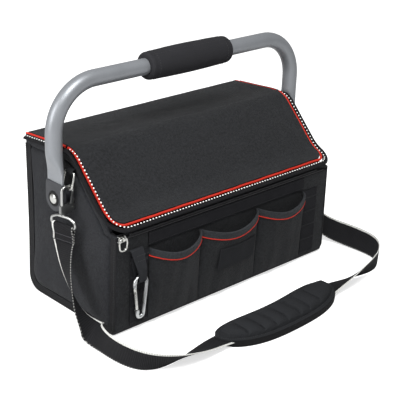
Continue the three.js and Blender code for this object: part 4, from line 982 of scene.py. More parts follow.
lid_ys = [LID_BACK - (LID_BACK - LID_FRONT) * k / 54 for k in range(55)]
lid_ys += [
    LID_FRONT + LID_CORNER * (1 - math.sin(math.radians(a)))
    for a in (6, 14, 24, 34, 44, 54, 64, 74, 82)
]
lid_rows = []
for y in sorted(set(lid_ys), reverse=True):
    inside = min(LID_CORNER, y - LID_FRONT + 0.4)
    half = LID_HALF - LID_CORNER + math.sqrt(max(0, LID_CORNER**2 - (LID_CORNER - inside) ** 2))
    row = []
    for k in range(65):
        t = k / 32 - 1
        x = half * math.copysign(1 - (1 - abs(t)) ** 1.15, t)
        edge = min(1, (half - abs(x)) / 30, (y - LID_FRONT) / 26 + 0.05, (106 - y) / 26 + 0.05)
        crown = -1.3 * edge
        crease = -0.7 * math.exp(-(((y - FOLD_Y) / 3.2) ** 2)) * min(1, edge + 0.4)
        ridge = -0.7 * math.exp(-(((y + 9) / 9) ** 2))
        soft = edge * (1.7 * wrinkle(x, y, 0, 90, 1) + 0.9 * wrinkle(x, y * 1.8, 0, 34, 2))
        z = lid_height(y) + crown + crease + ridge + soft
        row.append((x, y + set_back(y, LID_SEAM_HEIGHT), z))
    lid_rows.append(row)
lid_runs = [[(p[0] / 1000, -p[1] / 700) for p in row] for row in lid_rows]
lid_cloth = cloth_panel("lid_cloth", lid_rows, LID_THICK, body_cloth, runs=lid_runs)
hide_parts("lid_front_panel", "lid_rear_panel")
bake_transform(lid_cloth)

# Back fold
# A strip of cloth sewn over the joint between the back and the lid, on which the whole lid lifts.
FOLD_SECTION = (
    (107.2, 234), (107.6, 240), (107.4, 246), (106.6, 250),
    (105.2, 252.6), (102.6, 254), (99, 254.4), (95, 254.4),
)
fold_half = leaned(224, LID_SEAM_HEIGHT)
fold_rows = []
for y, z in FOLD_SECTION:
    row = []
    for k in range(61):
        row.append((fold_half * (k / 30 - 1), y + BACK_LEAN + 0.5 * wrinkle(k * 15, y, z, 40, 4), z))
    fold_rows.append(row)
back_fold = cloth_panel("back_fold", fold_rows[::-1], 1.0, binding_cloth)
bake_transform(back_fold)

# Lid trims
# A red cord piping is sewn round the lid's edge. Outside it a black tape with a line of pale
# dashes is rolled over into a hem. All three stop short of the crease, so that the lid can fold.
PIPING_X = 222.6
PIPING_Y = -102.6
PIPING_RADIUS = 2
TRIM_CORNER = 17
FOLD_STOP = 3.4
HEM_OUT = 7.2
HEM_DROP = 1.3
HEM_WIDTH = 9.6
HEM_THICK = 3.6
HEM_SLANT = 14
HEM_BACK_STOP = 6
DASH_PITCH = 5.8
UP = Vector((0, 0, 1))


def trim_line(out, drop, pitch=4):
    """The front half's edge, a distance outside the piping and below the lid's line."""
    half, front, corner = PIPING_X + out, PIPING_Y - out, TRIM_CORNER + out
    start = FOLD_Y - FOLD_STOP
    plan = cornered(
        [(-half, start, 0), (-half, front, 0, corner), (half, front, 0, corner), (half, start, 0)]
    )
    return [
        Vector((p.x, p.y, lid_height(max(p.y, -108)) - drop)) for p in spaced(plan, pitch)
    ]


def rear_line(side, out, drop, stop=0):
    """The same for one side of the rear half, which ends short of the back by the stop."""
    start = FOLD_Y + FOLD_STOP
    ys = [start + k * (HALF_DEPTH - stop - FOLD_Y - FOLD_STOP) / 22 for k in range(23)]
    x = side * (PIPING_X + out)
    return [Vector((x, y + set_back(y, LID_SEAM_HEIGHT), lid_height(y) - drop)) for y in ys]


def out_of_lid(p):
    """A level way out over the front half's edge: forward, and turned outward at the sides."""
    side = max(0, abs(p.x) - (PIPING_X - TRIM_CORNER))
    front = max(0, -(PIPING_Y + TRIM_CORNER) - p.y)
    if not side and not front:
        side = 1
    return Vector((math.copysign(side, p.x), -front, 0)).normalized()


def hem_slant(level, turn=0):
    """Down across the hem from the level way out, or its face when turned by 90 degrees."""
    slant = math.radians(HEM_SLANT - turn)
    return level * math.cos(slant) - UP * math.sin(slant)


def round_section(radius, sides=12):
    turns = [2 * math.pi * k / sides for k in range(sides)]
    return [(radius * math.cos(a), radius * math.sin(a)) for a in turns]


def rolled_section(width, thick, sides=7):
    """A flat roll: half rounds at both edges."""
    r, flat = thick / 2, width / 2 - thick / 2
    turns = [math.pi * (k / sides - 0.5) for k in range(sides + 1)]
    right = [(flat + r * math.cos(a), r * math.sin(a)) for a in turns]
    return right + [(-a, -b) for a, b in right]


def flat_shape(name, length, width, height, draw=0.75):
    """A small block with drawn-in sides, standing on its run."""
    outline = (
        (-0.5, -0.3), (-0.3, -0.5), (0.3, -0.5), (0.5, -0.3),
        (0.5, 0.3), (0.3, 0.5), (-0.3, 0.5), (-0.5, 0.3),
    )
    points = []
    for z, shrink in ((0, 1), (0.6, 0.96), (1, draw)):
        for x, y in outline:
            deep, wide = x * length * shrink, y * width * shrink
            points.append((deep / 1000, wide / 1000, (z - 0.3) * height / 1000))
    mesh = bpy.data.meshes.new(name)
    mesh.from_pydata(points, [], ring_faces(3, 8))
    return bpy.data.objects.new(name, mesh)


piping_finish = Finish("red_piping")
cord_twist = (piping_finish.along("Y") + piping_finish.along("X") * 0.6).wave(0.0016)
# The twist is painted lighter on its strands and darker in the grooves between them: painted shade,
# mixed with grain.
cord_shade = cord_twist * 0.5 + piping_finish.grain(180, 3) * 0.5
dark_red, light_red = shades(linear("c72c1c"), 0.6, 1.05)
red_cord = piping_finish.coat(
    Base_Color=piping_finish.between(cord_shade, dark_red, light_red),
    Roughness=0.62,
    Specular_IOR_Level=0.25,
    Normal=piping_finish.relief(cord_twist, 0.0002),
)
hem_cloth = webbing_finish("hem_tape", linear("161618"), rib=0.0015, slant=0)
pale_thread = thread_finish("pale_thread", linear("f2f2ef"))
dash = flat_shape("pale_dash", 2.3, 1.8, 0.9)
piping_section = round_section(PIPING_RADIUS)
hem_section = rolled_section(HEM_WIDTH, HEM_THICK)

piping_line = []
for p in trim_line(0, -0.9, 3):
    piping_line.append(p + out_of_lid(p) * wrinkle(p.x, p.y, 0, 26, 11) * 1.3)
front_piping = swept("lid_front_piping_cord", piping_line, piping_section, (0, 0, 1), red_cord)
hem_line = trim_line(HEM_OUT, HEM_DROP)
hem_ways = [hem_slant(out_of_lid(p)) for p in hem_line]
front_hem = swept("lid_front_hem_roll", hem_line, hem_section, lambda i: hem_ways[i], hem_cloth)
front_run = []
for p in trim_line(0, 0):
    way = out_of_lid(p)
    front_run.append((p + way * 7.4 + UP * 0.6, hem_slant(way, 90)))
front_dashes = along_run("lid_front_dashes", [front_run], dash, DASH_PITCH, pale_thread)
fitted(front_piping, "lid_front", "red_piping", "lid_front_piping")
fitted(front_hem, "lid_front", "body_fabric", "lid_front_hem")
fitted(front_dashes, "lid_front", "body_fabric")
for side, name in SIDES:
    way = out_of_lid(Vector((side * 225, 50, 0)))
    piping_path = rear_line(side, 0, -1.0)
    cord = swept(name + "_rear_piping_cord", piping_path, piping_section, (0, 0, 1), red_cord)
    hem_path = rear_line(side, HEM_OUT, HEM_DROP, HEM_BACK_STOP)
    hem = swept(name + "_rear_hem_roll", hem_path, hem_section, hem_slant(way), hem_cloth)
    outward_step = Vector((side * HEM_OUT, 0, 0.7))
    rear_edge = rear_line(side, 0, 0, HEM_BACK_STOP)
    run = [(p + outward_step, hem_slant(way, 90)) for p in rear_edge]
    dashes = along_run(name + "_rear_dashes", [run], dash, DASH_PITCH, pale_thread)
    fitted(cord, "lid_rear", "red_piping", name + "_rear_piping")
    fitted(hem, "lid_rear", "body_fabric", name + "_rear_hem")
    fitted(dashes, "lid_rear", "body_fabric")

# Zip
# Moulded teeth crimped on woven tape: one row is sewn to the front wall and one under the lid's
# lip. A plated slider waits past the left end, with an oval ring to pull it by.
ZIP_HEIGHT = 156.8
TAPE_BACK = -105.3
TAPE_THICK = 0.7
TOOTH_PITCH = 2.6
SLIDER_X = -220.5
PULLER_Y = -112.8
FORWARD = (0, -1, 0)
tape_finish = webbing_finish("zip_tape", linear("18181a"), rib=0.0011, slant=0)
teeth_finish = Finish("zip_teeth")
teeth_finish.coat(
    Base_Color=teeth_finish.between(teeth_finish.grain(220), linear("17171a"), linear("2c2c30")),
    Roughness=teeth_finish.grain(500) * 0.2 + 0.32,
)
tooth = flat_shape("zip_tooth", 1.7, 3.0, 3.0, draw=0.7)
for name, body, low, high, half, offset, rise in (
    ("lower", "bag", 151.8, 155.1, 225, 0, 155.15),
    ("upper", "lid_front", 158.5, 162.4, 206, 1.3, 158.45),
):
    tape_rows = []
    for z in (low, (low + high) / 2, high):
        tape_rows.append([(-half + k * half / 45, TAPE_BACK - TAPE_THICK, z) for k in range(91)])
    tape = cloth_panel(f"zip_{name}_tape", tape_rows, TAPE_THICK, tape_finish)
    run = []
    for k in range(40):
        x = -half + 1 + offset + k * (half - 1) / 20
        run.append(((x, TAPE_BACK - 0.9, rise), FORWARD))
    teeth = along_run(f"zip_{name}_row", [run], tooth, TOOTH_PITCH, teeth_finish.material)
    fitted(tape, body, "zip_plastic", f"zip_{name}_teeth")
    fitted(teeth, body, "zip_plastic")


def plated_finish(name, colour, worn=0.5):
    """Plated metal: bright, with cloudy polish, fine scratches and dull spots."""
    finish = Finish(name)
    cloud = finish.grain(90, 3)
    fine = finish.grain(1500, 2)
    streaks = {"Vector": finish.place(), "Scale": 420, "Distortion": 2.5}
    scratch = finish.node("TexNoise", None, streaks)
    dull, bright = shades(colour, 0.72, 1.08)
    return finish.coat(
        Base_Color=finish.between(cloud * 0.7 + fine * 0.3, dull, bright),
        Metallic=1.0,
        Roughness=cloud * 0.22 * worn + scratch * 0.12 + 0.16,
        Normal=finish.relief(scratch * 0.6 + fine * 0.4, 0.00003),
    )


def plate(name, outline, low, high, material, bevel=0.6, axis="Y"):
    """A flat plate cut to an outline, between two depths along the axis, with eased edges."""
    if axis == "Y":
        points = [(a, depth, b) for depth in (low, high) for a, b in outline]
    else:
        points = [(depth, a, b) for depth in (low, high) for a, b in outline]
    n = len(outline)
    faces = [tuple(range(n - 1, -1, -1)), tuple(range(n, 2 * n))]
    faces += [(k, (k + 1) % n, n + (k + 1) % n, n + k) for k in range(n)]
    made = outward(shown(name, points, faces, material, None, 30))
    mesh = bmesh.new()
    mesh.from_mesh(made.data)
    rims = [e for e in mesh.edges if e.calc_face_angle(0) > math.radians(60)]
    bmesh.ops.bevel(
        mesh, geom=rims, offset=bevel / 1000, segments=3, affect="EDGES", profile=0.6
    )
    bmesh.ops.recalc_face_normals(mesh, faces=mesh.faces)
    mesh.to_mesh(made.data)
    mesh.free()
    made.data.polygons.foreach_set("use_smooth", [True] * len(made.data.polygons))
    made.data.set_sharp_from_angle(angle=math.radians(35))
    return made


nickel = plated_finish("nickel_plate", linear("cfcfcb"))
SHIELD = (
    (-6.4, -2.6), (-5.4, -4.1), (-2.5, -4.5), (2.5, -4.4), (5.6, -3.6), (6.4, -2.2),
    (6.4, 2.2), (5.6, 3.6), (2.5, 4.4), (-2.5, 4.5), (-5.4, 4.1), (-6.4, 2.6),
)
shield = [(SLIDER_X + a, ZIP_HEIGHT + b) for a, b in SHIELD]
slider_face = plate("zip_slider_face", shield, -111.2, -109.5, nickel)
for k, (low, high) in enumerate(((-4.5, -3.55), (3.55, 4.5))):
    corners = ((-6, low), (6, low), (6, high), (-6, high))
    wing = [(SLIDER_X + a, ZIP_HEIGHT + b) for a, b in corners]
    side_wing = plate(f"zip_slider_wing_{k}", wing, -109.9, -106.4, nickel, 0.25)
    fitted(side_wing, "slider", "plated_steel")
arch = cornered(
    [
        (SLIDER_X, -110.6, ZIP_HEIGHT - 2.4),
        (SLIDER_X, -115, ZIP_HEIGHT - 1.4, 1.6),
        (SLIDER_X, -115, ZIP_HEIGHT + 3.8, 1.6),
        (SLIDER_X, -110.6, ZIP_HEIGHT + 4.1),
    ]
)
slider_arch = swept("zip_slider_arch", arch, rolled_section(4.6, 1.3, 4), (1, 0, 0), nickel)
fitted(slider_face, "slider", "plated_steel", "zip_slider")
fitted(slider_arch, "slider", "plated_steel")
PULLER_CORNERS = (
    (-5.4, 158.2, 2.5), (5.4, 158.2, 2.5), (7.2, 151.2, 4),
    (5.8, 139.9, 5), (-5.8, 139.9, 5), (-7.2, 151.2, 4),
)
puller_plan = [(SLIDER_X + dx, PULLER_Y, z, radius) for dx, z, radius in PULLER_CORNERS]
ring = spaced(cornered(puller_plan, closed=True, turn=8), 0.9, closed=True)
ring_middle = Vector((SLIDER_X, PULLER_Y, 149))
puller = swept(
    "zip_puller_ring",
    ring,
    rolled_section(2.6, 1.7, 5),
    lambda i: ring_middle - ring[i],
    nickel,
    closed=True,
)
fitted(puller, "puller", "plated_steel", "zip_puller")

# Front trims
# A ribbed band is sewn across the front under the zip. At each side of the pockets hangs a ladder
# of the same webbing, tacked down every few centimetres so that things can be clipped into it.
FRONT = -105.3
POCKET_RUN = 168
BAND_FOOT = 131
BAND_WIDTH = 20.5
LADDER_X = 186
LADDER_HALF = 16.4
LADDER_FOOT = 11
LADDER_LENGTH = 116
LADDER_TACKS = (13, 38, 63, 88, 113, 125)
trim_webbing = webbing_finish("trim_webbing", linear("1e1e21"), rib=0.0024, slant=0)
band_rows = []
for k in range(9):
    z = BAND_FOOT + BAND_WIDTH * k / 8
    lift = 1.6 + 0.25 * math.sin(math.pi * k / 8)
    band_rows.append([(-POCKET_RUN + 336 * j / 70, FRONT - lift, z) for j in range(71)])
band_runs = [[(p[2] / 1000, p[0] / 1000) for p in row] for row in band_rows]
band = cloth_panel("front_band_webbing", band_rows, 1.5, trim_webbing, runs=band_runs)
band_seams = [
    [((-166 + 332 * k / 40, FRONT - 2.0, z), FORWARD) for k in range(41)] for z in (133.4, 149.2)
]
fitted(band, "bag", "webbing", "front_band")
sewn("front_band_stitches", band_seams, 2.4, 0.7, 3.6, "webbing")


def ladder_bow(z):
    """How far a ladder stands off the cloth, between two of its tacks."""
    for low, high in zip(LADDER_TACKS, LADDER_TACKS[1:]):
        if low <= z < high:
            share = (z - low) / (high - low)
            return 0.35 * abs(math.sin(math.pi * share)) ** 0.7
    return 0


for side, name in SIDES:
    rows = []
    for k in range(77):
        z = LADDER_FOOT + LADDER_LENGTH * k / 76
        y = FRONT - 1.6 - ladder_bow(z)
        rows.append([(side * LADDER_X + LADDER_HALF * (j / 6 - 1), y, z) for j in range(13)])
    ladder_runs = [[(p[0] / 1000, p[2] / 1000) for p in row] for row in rows]
    ladder = cloth_panel(name + "_ladder", rows, 1.3, trim_webbing, runs=ladder_runs)
    bars = []
    for tack in LADDER_TACKS[:-1]:
        for z in (tack - 0.8, tack + 0.8):
            xs = [side * LADDER_X + 15.5 * (k / 5 - 1) for k in range(11)]
            bars.append([((x, FRONT - 1.9, z), FORWARD) for x in xs])
    fitted(ladder, "bag", "webbing", name + "_ladder_webbing")
    sewn(name + "_ladder_tacks", bars, 1.9, 0.8, 2.1, "webbing")

# Pockets
# Three open pockets stand off the front, each a bellied piece of cloth gathered at its foot. The
# mouth is bound in black with a red line sewn under the binding.
POCKETS = (("left", 102), ("centre", 124), ("right", 110))
POCKET_FOOT = 11
POCKET_TOP = 127
POCKET_SAG = 12
RED_LINE_DROP = 11.6
MOUTH_SECTION = (
    (3.1, -11), (3.6, -10.6), (3.5, -8), (3.3, -4.5), (3.5, -1.4), (3.1, -0.1),
    (2.0, 0.7), (0.6, 0.6), (-0.5, -0.2), (-0.9, -1.6), (-0.9, -8.4), (-0.2, -8.6),
    (-0.1, -1.4), (0.5, -0.4), (1.6, -0.4), (2.2, -1.2), (2.3, -11),
)
pocket_cloth = cloth_finish("pocket_cloth", linear("202123"), mottle=0.45)
# The binding is black cloth painted a lighter grey than the pocket: painted sheen.
mouth_cloth = cloth_finish(
    "mouth_cloth", linear("2b2d30"), pitch=0.0009, mottle=0.3, depth=0.0002
)


def pocket_stand(share, z):
    """How far a pocket stands off the front at a share of its width."""
    return (1.5 + 24.5 * min(z, 130) / 130) * math.sin(math.pi * share) ** 0.55


def pocket_mouth(share):
    """The height of a pocket's mouth, lowest in its middle."""
    return POCKET_TOP - POCKET_SAG * math.sin(math.pi * share) ** 1.1


def pocket_face(number, start, wide, share, z):
    """A point of a pocket's cloth, with the gathers at its foot, its hang and its two tucks."""
    height = held((z - POCKET_FOOT) / 100)
    body = math.sin(math.pi * share) ** 0.7
    gather = 1.3 * (1 - height) ** 1.3 * math.sin(share * wide / 7.5 + 1.9 * number) * body
    slack = wrinkle(start + wide * share * 1.5, number * 40, z * 0.45, 26, 8)
    hang = 3.0 * body * height**0.6 * slack
    tuck = -2.2 * (1 - height) * body * math.exp(-(((share - 0.22) / 0.05) ** 2))
    tuck -= 2.2 * (1 - height) * body * math.exp(-(((share - 0.78) / 0.05) ** 2))
    calm = held((pocket_mouth(share) - z) / 22)
    soft = (gather + hang + tuck) * calm
    return (start + wide * share, FRONT - 2 - pocket_stand(share, z) - soft, z)


pocket_shares = [0.5 - 0.5 * math.cos(math.pi * k / 46) for k in range(47)]
red_section = round_section(1.0, 8)
pocket_left = -POCKET_RUN
for number, (name, width) in enumerate(POCKETS):
    start, wide = pocket_left + 0.3, width - 0.6
    rows = []
    for k in range(34):
        row = []
        for s in pocket_shares:
            z = POCKET_FOOT + (pocket_mouth(s) - POCKET_FOOT) * (k / 33)
            row.append(pocket_face(number, start, wide, s, z))
        rows.append(row)
    cloth = cloth_panel(f"pocket_{name}_cloth", rows, 1.8, pocket_cloth)
    rings, line = [], []
    for s in pocket_shares:
        x, top = start + wide * s, pocket_mouth(s)
        rings.append(
            [(x, FRONT - out - pocket_stand(s, top + dz), top + dz) for out, dz in MOUTH_SECTION]
        )
        low = top - RED_LINE_DROP
        line.append(Vector((x, FRONT - 3.2 - pocket_stand(s, low), low)))
    binding = loft(
        f"pocket_{name}_mouth", rings, mouth_cloth, runs=lambda p: (p[2] / 1000, p[0] / 1000)
    )
    red_line = swept(f"pocket_{name}_red_line", line, red_section, (0, 0, 1), red_cord)
    seam = [((p.x, p.y - 0.55, p.z + 2.6), FORWARD) for p in line]
    fitted(cloth, "bag", "body_fabric", f"pocket_{name}")
    fitted(binding, "bag", "webbing", f"pocket_{name}_binding")
    fitted(red_line, "bag", "red_piping")
    sewn(f"pocket_{name}_stitches", [seam], 2.4, 0.7, 3.4, "webbing")
    pocket_left += width

# Pocket patch
# A plain woven patch with nothing on it, stitched to the centre pocket by its four edges.
PATCH_LEFT = -36.3
PATCH_RIGHT = 47.7
PATCH_LOW = 52
PATCH_HIGH = 90
PATCH_SEAM = 2
CENTRE_START = -65.7
CENTRE_WIDE = 123.4


def before_centre(x, z, out):
    """The place front to back that lies so far in front of the centre pocket's lining."""
    return FRONT - out - pocket_stand((x - CENTRE_START) / CENTRE_WIDE, z)


patch_finish = webbing_finish("patch_weave", linear("27282b"), rib=0.0008, slant=0)
patch_rows = []
for k in range(15):
    z = PATCH_LOW + (PATCH_HIGH - PATCH_LOW) * k / 14
    row = []
    for j in range(31):
        x = PATCH_LEFT + (PATCH_RIGHT - PATCH_LEFT) * j / 30
        row.append((x, before_centre(x, z, 3.4) - 0.5 * wrinkle(x, 0, z, 30, 9), z))
    patch_rows.append(row)
patch_runs = [[(p[2] / 1000, p[0] / 1000) for p in row] for row in patch_rows]
patch = cloth_panel("pocket_patch_plain", patch_rows, 0.8, patch_finish, runs=patch_runs)
left, right = PATCH_LEFT + PATCH_SEAM, PATCH_RIGHT - PATCH_SEAM
low, high = PATCH_LOW + PATCH_SEAM, PATCH_HIGH - PATCH_SEAM
corners = [(left, low), (right, low), (right, high), (left, high)]
border = []
for (x0, z0), (x1, z1) in zip(corners, corners[1:] + corners[:1]):
    edge_run = []
    for k in range(17):
        x, z = x0 + (x1 - x0) * k / 16, z0 + (z1 - z0) * k / 16
        edge_run.append(((x, before_centre(x, z, 3.8), z), FORWARD))
    border.append(edge_run)
fitted(patch, "bag", "webbing", "pocket_patch")
sewn("pocket_patch_stitches", border, 2.0, 0.6, 2.9, "webbing")

# Handle tube
# One steel tube, bent to a wide bow and painted satin grey. Its ends are pressed flat and drilled
# for the pivots, so the round tube runs out into a wide blade at each foot, under its boot.
TUBE_RADIUS = 12.5
HANDLE_Y = 10
HANDLE_TOP = 355
BOW_RADIUS = 72
ARM_X = 248
FLAT_X = 245.5
PIVOT_Z = 187
FLAT_HALF = 17.8
FLAT_THICK_HALF = 2.5
PRESS_START = 222
PRESS_LENGTH = 40

tube_finish = Finish("grey_tube_paint")
tube_speckle = tube_finish.grain(1400, 2)
tube_cloud = tube_finish.grain(24, 3)
tube_shade = tube_speckle * 0.5 + tube_cloud * 0.5
tube_finish.coat(
    Base_Color=tube_finish.between(tube_shade, linear("75787b"), linear("92959a")),
    Roughness=tube_cloud * 0.12 + tube_speckle * 0.1 + 0.3,
    Metallic=0.45,
    Normal=tube_finish.relief(tube_speckle, 0.00006),
)

# Each arm's stations from its foot up: height, half width and how round it is.
arm = []
for s in (0.995, 0.96, 0.88, 0.74, 0.55, 0.3, 0):
    arm.append((PIVOT_Z - FLAT_HALF * s, FLAT_HALF * math.sqrt(1 - s * s), 0))
for k in range(17):
    t = k / 16
    ease = t * t * (3 - 2 * t)
    wide = FLAT_HALF + (TUBE_RADIUS - FLAT_HALF) * ease
    arm.append((PRESS_START + PRESS_LENGTH * t, wide, ease))
left_arm = [Vector((-FLAT_X - FLAT_THICK_HALF * r, HANDLE_Y, z)) for z, _, r in arm]
bow = cornered(
    [
        (-ARM_X, HANDLE_Y, 263),
        (-ARM_X, HANDLE_Y, HANDLE_TOP, BOW_RADIUS),
        (ARM_X, HANDLE_Y, HANDLE_TOP, BOW_RADIUS),
        (ARM_X, HANDLE_Y, 263),
    ],
    turn=5,
)
tube_path = left_arm + bow[1:-1] + [Vector((-p.x, p.y, p.z)) for p in reversed(left_arm)]


def tube_section(i):
    """The tube's outline at a point of its path: a circle, or pressed flat at the feet."""
    here = min(i, len(tube_path) - 1 - i)
    _, wide, ease = arm[here] if here < len(arm) else (0, TUBE_RADIUS, 1)
    deep = FLAT_THICK_HALF + (TUBE_RADIUS - FLAT_THICK_HALF) * ease
    square = 0.35 + 0.65 * ease
    outline = []
    for k in range(32):
        a = 2 * math.pi * k / 32
        c, s = math.cos(a), math.sin(a)
        across = wide * math.copysign(abs(c) ** square, c)
        outline.append((across, deep * math.copysign(abs(s) ** square, s)))
    return outline


tube = swept("handle_tube_bow", tube_path, tube_section, (0, 1, 0), tube_finish.material)
fitted(tube, "handle", "grey_tube", "handle_tube")

# Handle grip
# A closed-cell foam sleeve slid over the middle of the tube, a little thicker in its middle, with
# rounded ends, a matte, finely pitted skin, and a row of stitches along it and round each end.
GRIP_MIDDLE = 4.5
GRIP_HALF = 83.5
GRIP_END_RADIUS = 17.2
GROOVE_X = 75
foam_finish = Finish("grip_foam")
pits = foam_finish.grain(1100, 3)
foam_cloud = foam_finish.grain(30, 3)
# The pits are painted darker than the skin round them: painted shade in the pits, over cloudy tone.
foam_shade = pits * 0.6 + foam_cloud * 0.4
foam_finish.coat(
    Base_Color=foam_finish.between(foam_shade, linear("18181a"), linear("2f2f32")),
    Roughness=foam_cloud * 0.08 + 0.84,
    Specular_IOR_Level=CLOTH_SHINE,
    Normal=foam_finish.relief(pits, 0.00045),
)


def turned(name, profile, y, z, material, sides=48, soft=None, crease=35):
    """A piece turned about a line along X: (x, radius) from end to end."""
    points = []
    for x, r in profile:
        for k in range(sides):
            a = 2 * math.pi * k / sides
            reach = r + (soft(x, a) if soft else 0)
            points.append((x, y + reach * math.cos(a), z + reach * math.sin(a)))
    faces = ring_faces(len(profile), sides)
    return outward(shown(name, points, faces, material, None, crease))


def round_grip(a, reach):
    """A way out of the grip and the height it reaches, for an angle up from the back."""
    out = Vector((0, math.cos(a), math.sin(a)))
    return out * reach, out


grip_profile = [(-GRIP_HALF, TUBE_RADIUS + 0.1), (-GRIP_HALF, GRIP_END_RADIUS)]
for k in range(1, 8):
    a = math.pi / 2 * k / 7
    grip_profile.append((-GRIP_HALF + 5 - 5 * math.cos(a), GRIP_END_RADIUS + 4 * math.sin(a)))
for k in range(91):
    t = k / 45 - 1
    grip_profile.append((t * (GRIP_HALF - 6), 22.9 - 1.5 * t * t))
grip_profile += [(-x, r) for x, r in reversed(grip_profile[:9])]
grooved = []
for x, r in grip_profile:
    groove = 0.9 * math.exp(-(((abs(x) - GROOVE_X) / 1.3) ** 2))
    grooved.append((GRIP_MIDDLE + x, r - groove))
grip = turned(
    "handle_grip_foam",
    grooved,
    HANDLE_Y,
    HANDLE_TOP,
    foam_finish.material,
    soft=lambda x, a: 0.25 * wrinkle(x, math.cos(a) * 22, math.sin(a) * 22, 18, 6),
)
grip_seams = [[]]
for k in range(71):
    t = k / 35 - 1
    lift, out = round_grip(math.radians(118), 23.0 - 1.5 * t * t)
    grip_seams[0].append((Vector((GRIP_MIDDLE + 76 * t, HANDLE_Y, HANDLE_TOP)) + lift, out))
for x in (GRIP_MIDDLE - 70.5, GRIP_MIDDLE + 70.5):
    ring_run = []
    for k in range(49):
        lift, out = round_grip(2 * math.pi * k / 48, 21.75)
        ring_run.append((Vector((x, HANDLE_Y, HANDLE_TOP)) + lift, out))
    grip_seams.append(ring_run)
sewn("handle_grip_stitches", grip_seams, 2.6, 0.8, 4.0, "foam_rubber", body="handle")
fitted(grip, "handle", "foam_rubber", "handle_grip")

# Handle pivots
# A moulded boot covers each flat foot. A plated rivet runs through boot, tube and a spacer into a
# plate inside the end panel, and its head sits in a dark ring.
BOOT_HALF = 19.6
BOOT_INSIDE = 241.3
BOOT_OUTSIDE = 249.7
BOOT_TOP = ((0.4, 208), (1.5, 211.5), (4.5, 213))
RING_PROFILE = (
    (249.4, 7.8), (249.4, 11.6), (250.0, 11.9), (250.5, 11.4), (250.6, 9.2), (250.2, 7.8),
)
RIVET_PROFILE = (
    (217.6, 0.3), (217.7, 4.6), (218.6, 6.9), (220.2, 7.5), (220.3, 4), (250.1, 4), (250.15, 7.4),
    (250.7, 7.6), (251.3, 7.2), (252.1, 6.0), (252.7, 4.2), (253.0, 2.2), (253.1, 0.3),
)
boot_finish = Finish("moulded_plastic")
leather_grain = boot_finish.grain(1300, 3)
boot_finish.coat(
    Base_Color=boot_finish.between(boot_finish.grain(60, 3), linear("292a2d"), linear("3e3f43")),
    Roughness=leather_grain * 0.2 + 0.42,
    Specular_IOR_Level=0.3,
    Normal=boot_finish.relief(leather_grain, 0.00008),
)
ring_finish = Finish("rivet_ring_plastic")
ring_finish.coat(
    Base_Color=ring_finish.between(ring_finish.grain(400, 3), linear("070708"), linear("151516")),
    Roughness=0.6,
    Specular_IOR_Level=0.2,
)
boot_outline = []
for k in range(29):
    a = math.pi + math.pi * k / 28
    boot_outline.append((HANDLE_Y + BOOT_HALF * math.cos(a), PIVOT_Z + BOOT_HALF * math.sin(a)))
boot_outline += [(HANDLE_Y + BOOT_HALF - inset, z) for inset, z in BOOT_TOP]
boot_outline += [(HANDLE_Y - BOOT_HALF + inset, z) for inset, z in reversed(BOOT_TOP)]
for side, name in SIDES:
    low, high = sorted((side * BOOT_INSIDE, side * BOOT_OUTSIDE))
    boot = plate(name + "_boot", boot_outline, low, high, boot_finish.material, 1.5, axis="X")
    fitted(boot, "handle", "moulded_plastic", name + "_handle_boot")
    ring_profile = [(side * x, r) for x, r in RING_PROFILE]
    collar = turned(
        name + "_rivet_ring", ring_profile, HANDLE_Y, PIVOT_Z, ring_finish.material, crease=25
    )
    fitted(collar, "handle", "moulded_plastic")
    rivet_profile = [(side * x, r) for x, r in RIVET_PROFILE]
    rivet = turned(name + "_rivet", rivet_profile, HANDLE_Y, PIVOT_Z, nickel)
    fitted(rivet, "bag", "plated_steel", name + "_pivot_rivet")
    nodes[name + "_pivot_spacer"].data.materials[0] = boot_finish.material
    nodes[name + "_pivot_plate"].data.materials[0] = nickel

# D-rings
# A welded D of nickel-plated wire hangs on each end panel, in a small folded tab of webbing sewn
# into the seam under the lid. The snap hooks of the strap clip into them.
RING_LEAN = math.radians(13.3)
RING_Y = -7
RING_CORNERS = ((-10.8, 0, 2.5), (-10.8, 24.7, 6), (10.8, 24.7, 6), (10.8, 0, 2.5))
TAB_CORNERS = (
    (229.6, 234.6), (227.0, 230.5, 2), (226.9, 226.8, 1.5), (229.3, 225.4, 2),
    (233.6, 226.3, 3), (235.2, 229.6, 3), (233.6, 232.3, 2), (229.9, 234.3),
)


def ring_point(side, y, drop):
    """A point of a D-ring that hangs so far below its bar, along the ring's lean."""
    x = 232.5 + drop * math.sin(RING_LEAN)
    return (side * x, y + RING_Y, 229.5 - drop * math.cos(RING_LEAN))


tab_line = cornered([(0, *corner) for corner in TAB_CORNERS], turn=14)
tab_section = [(a, b * 0.75) for a, b in flat_band(14, 1.6, 8)]
tab_webbing = webbing_finish("tab_webbing", linear("18191b"), slant=0)
for side, name in SIDES:
    corners = [(*ring_point(side, y, drop), radius) for y, drop, radius in RING_CORNERS]
    ring = spaced(cornered(corners, closed=True, turn=12), 2.2, closed=True)
    flat = Vector((side * math.cos(RING_LEAN), 0, math.sin(RING_LEAN)))
    ring_section = round_section(1.8, 16)
    d_ring = swept(name + "_d_ring_wire", ring, ring_section, flat, nickel, closed=True)
    fitted(d_ring, "bag", "plated_steel", name + "_d_ring")
    fold = [Vector((side * p.y, RING_Y, p.z)) for p in tab_line]
    tab = swept(name + "_ring_tab_fold", fold, tab_section, (0, 1, 0), tab_webbing)
    fitted(tab, "bag", "webbing", name + "_ring_tab")

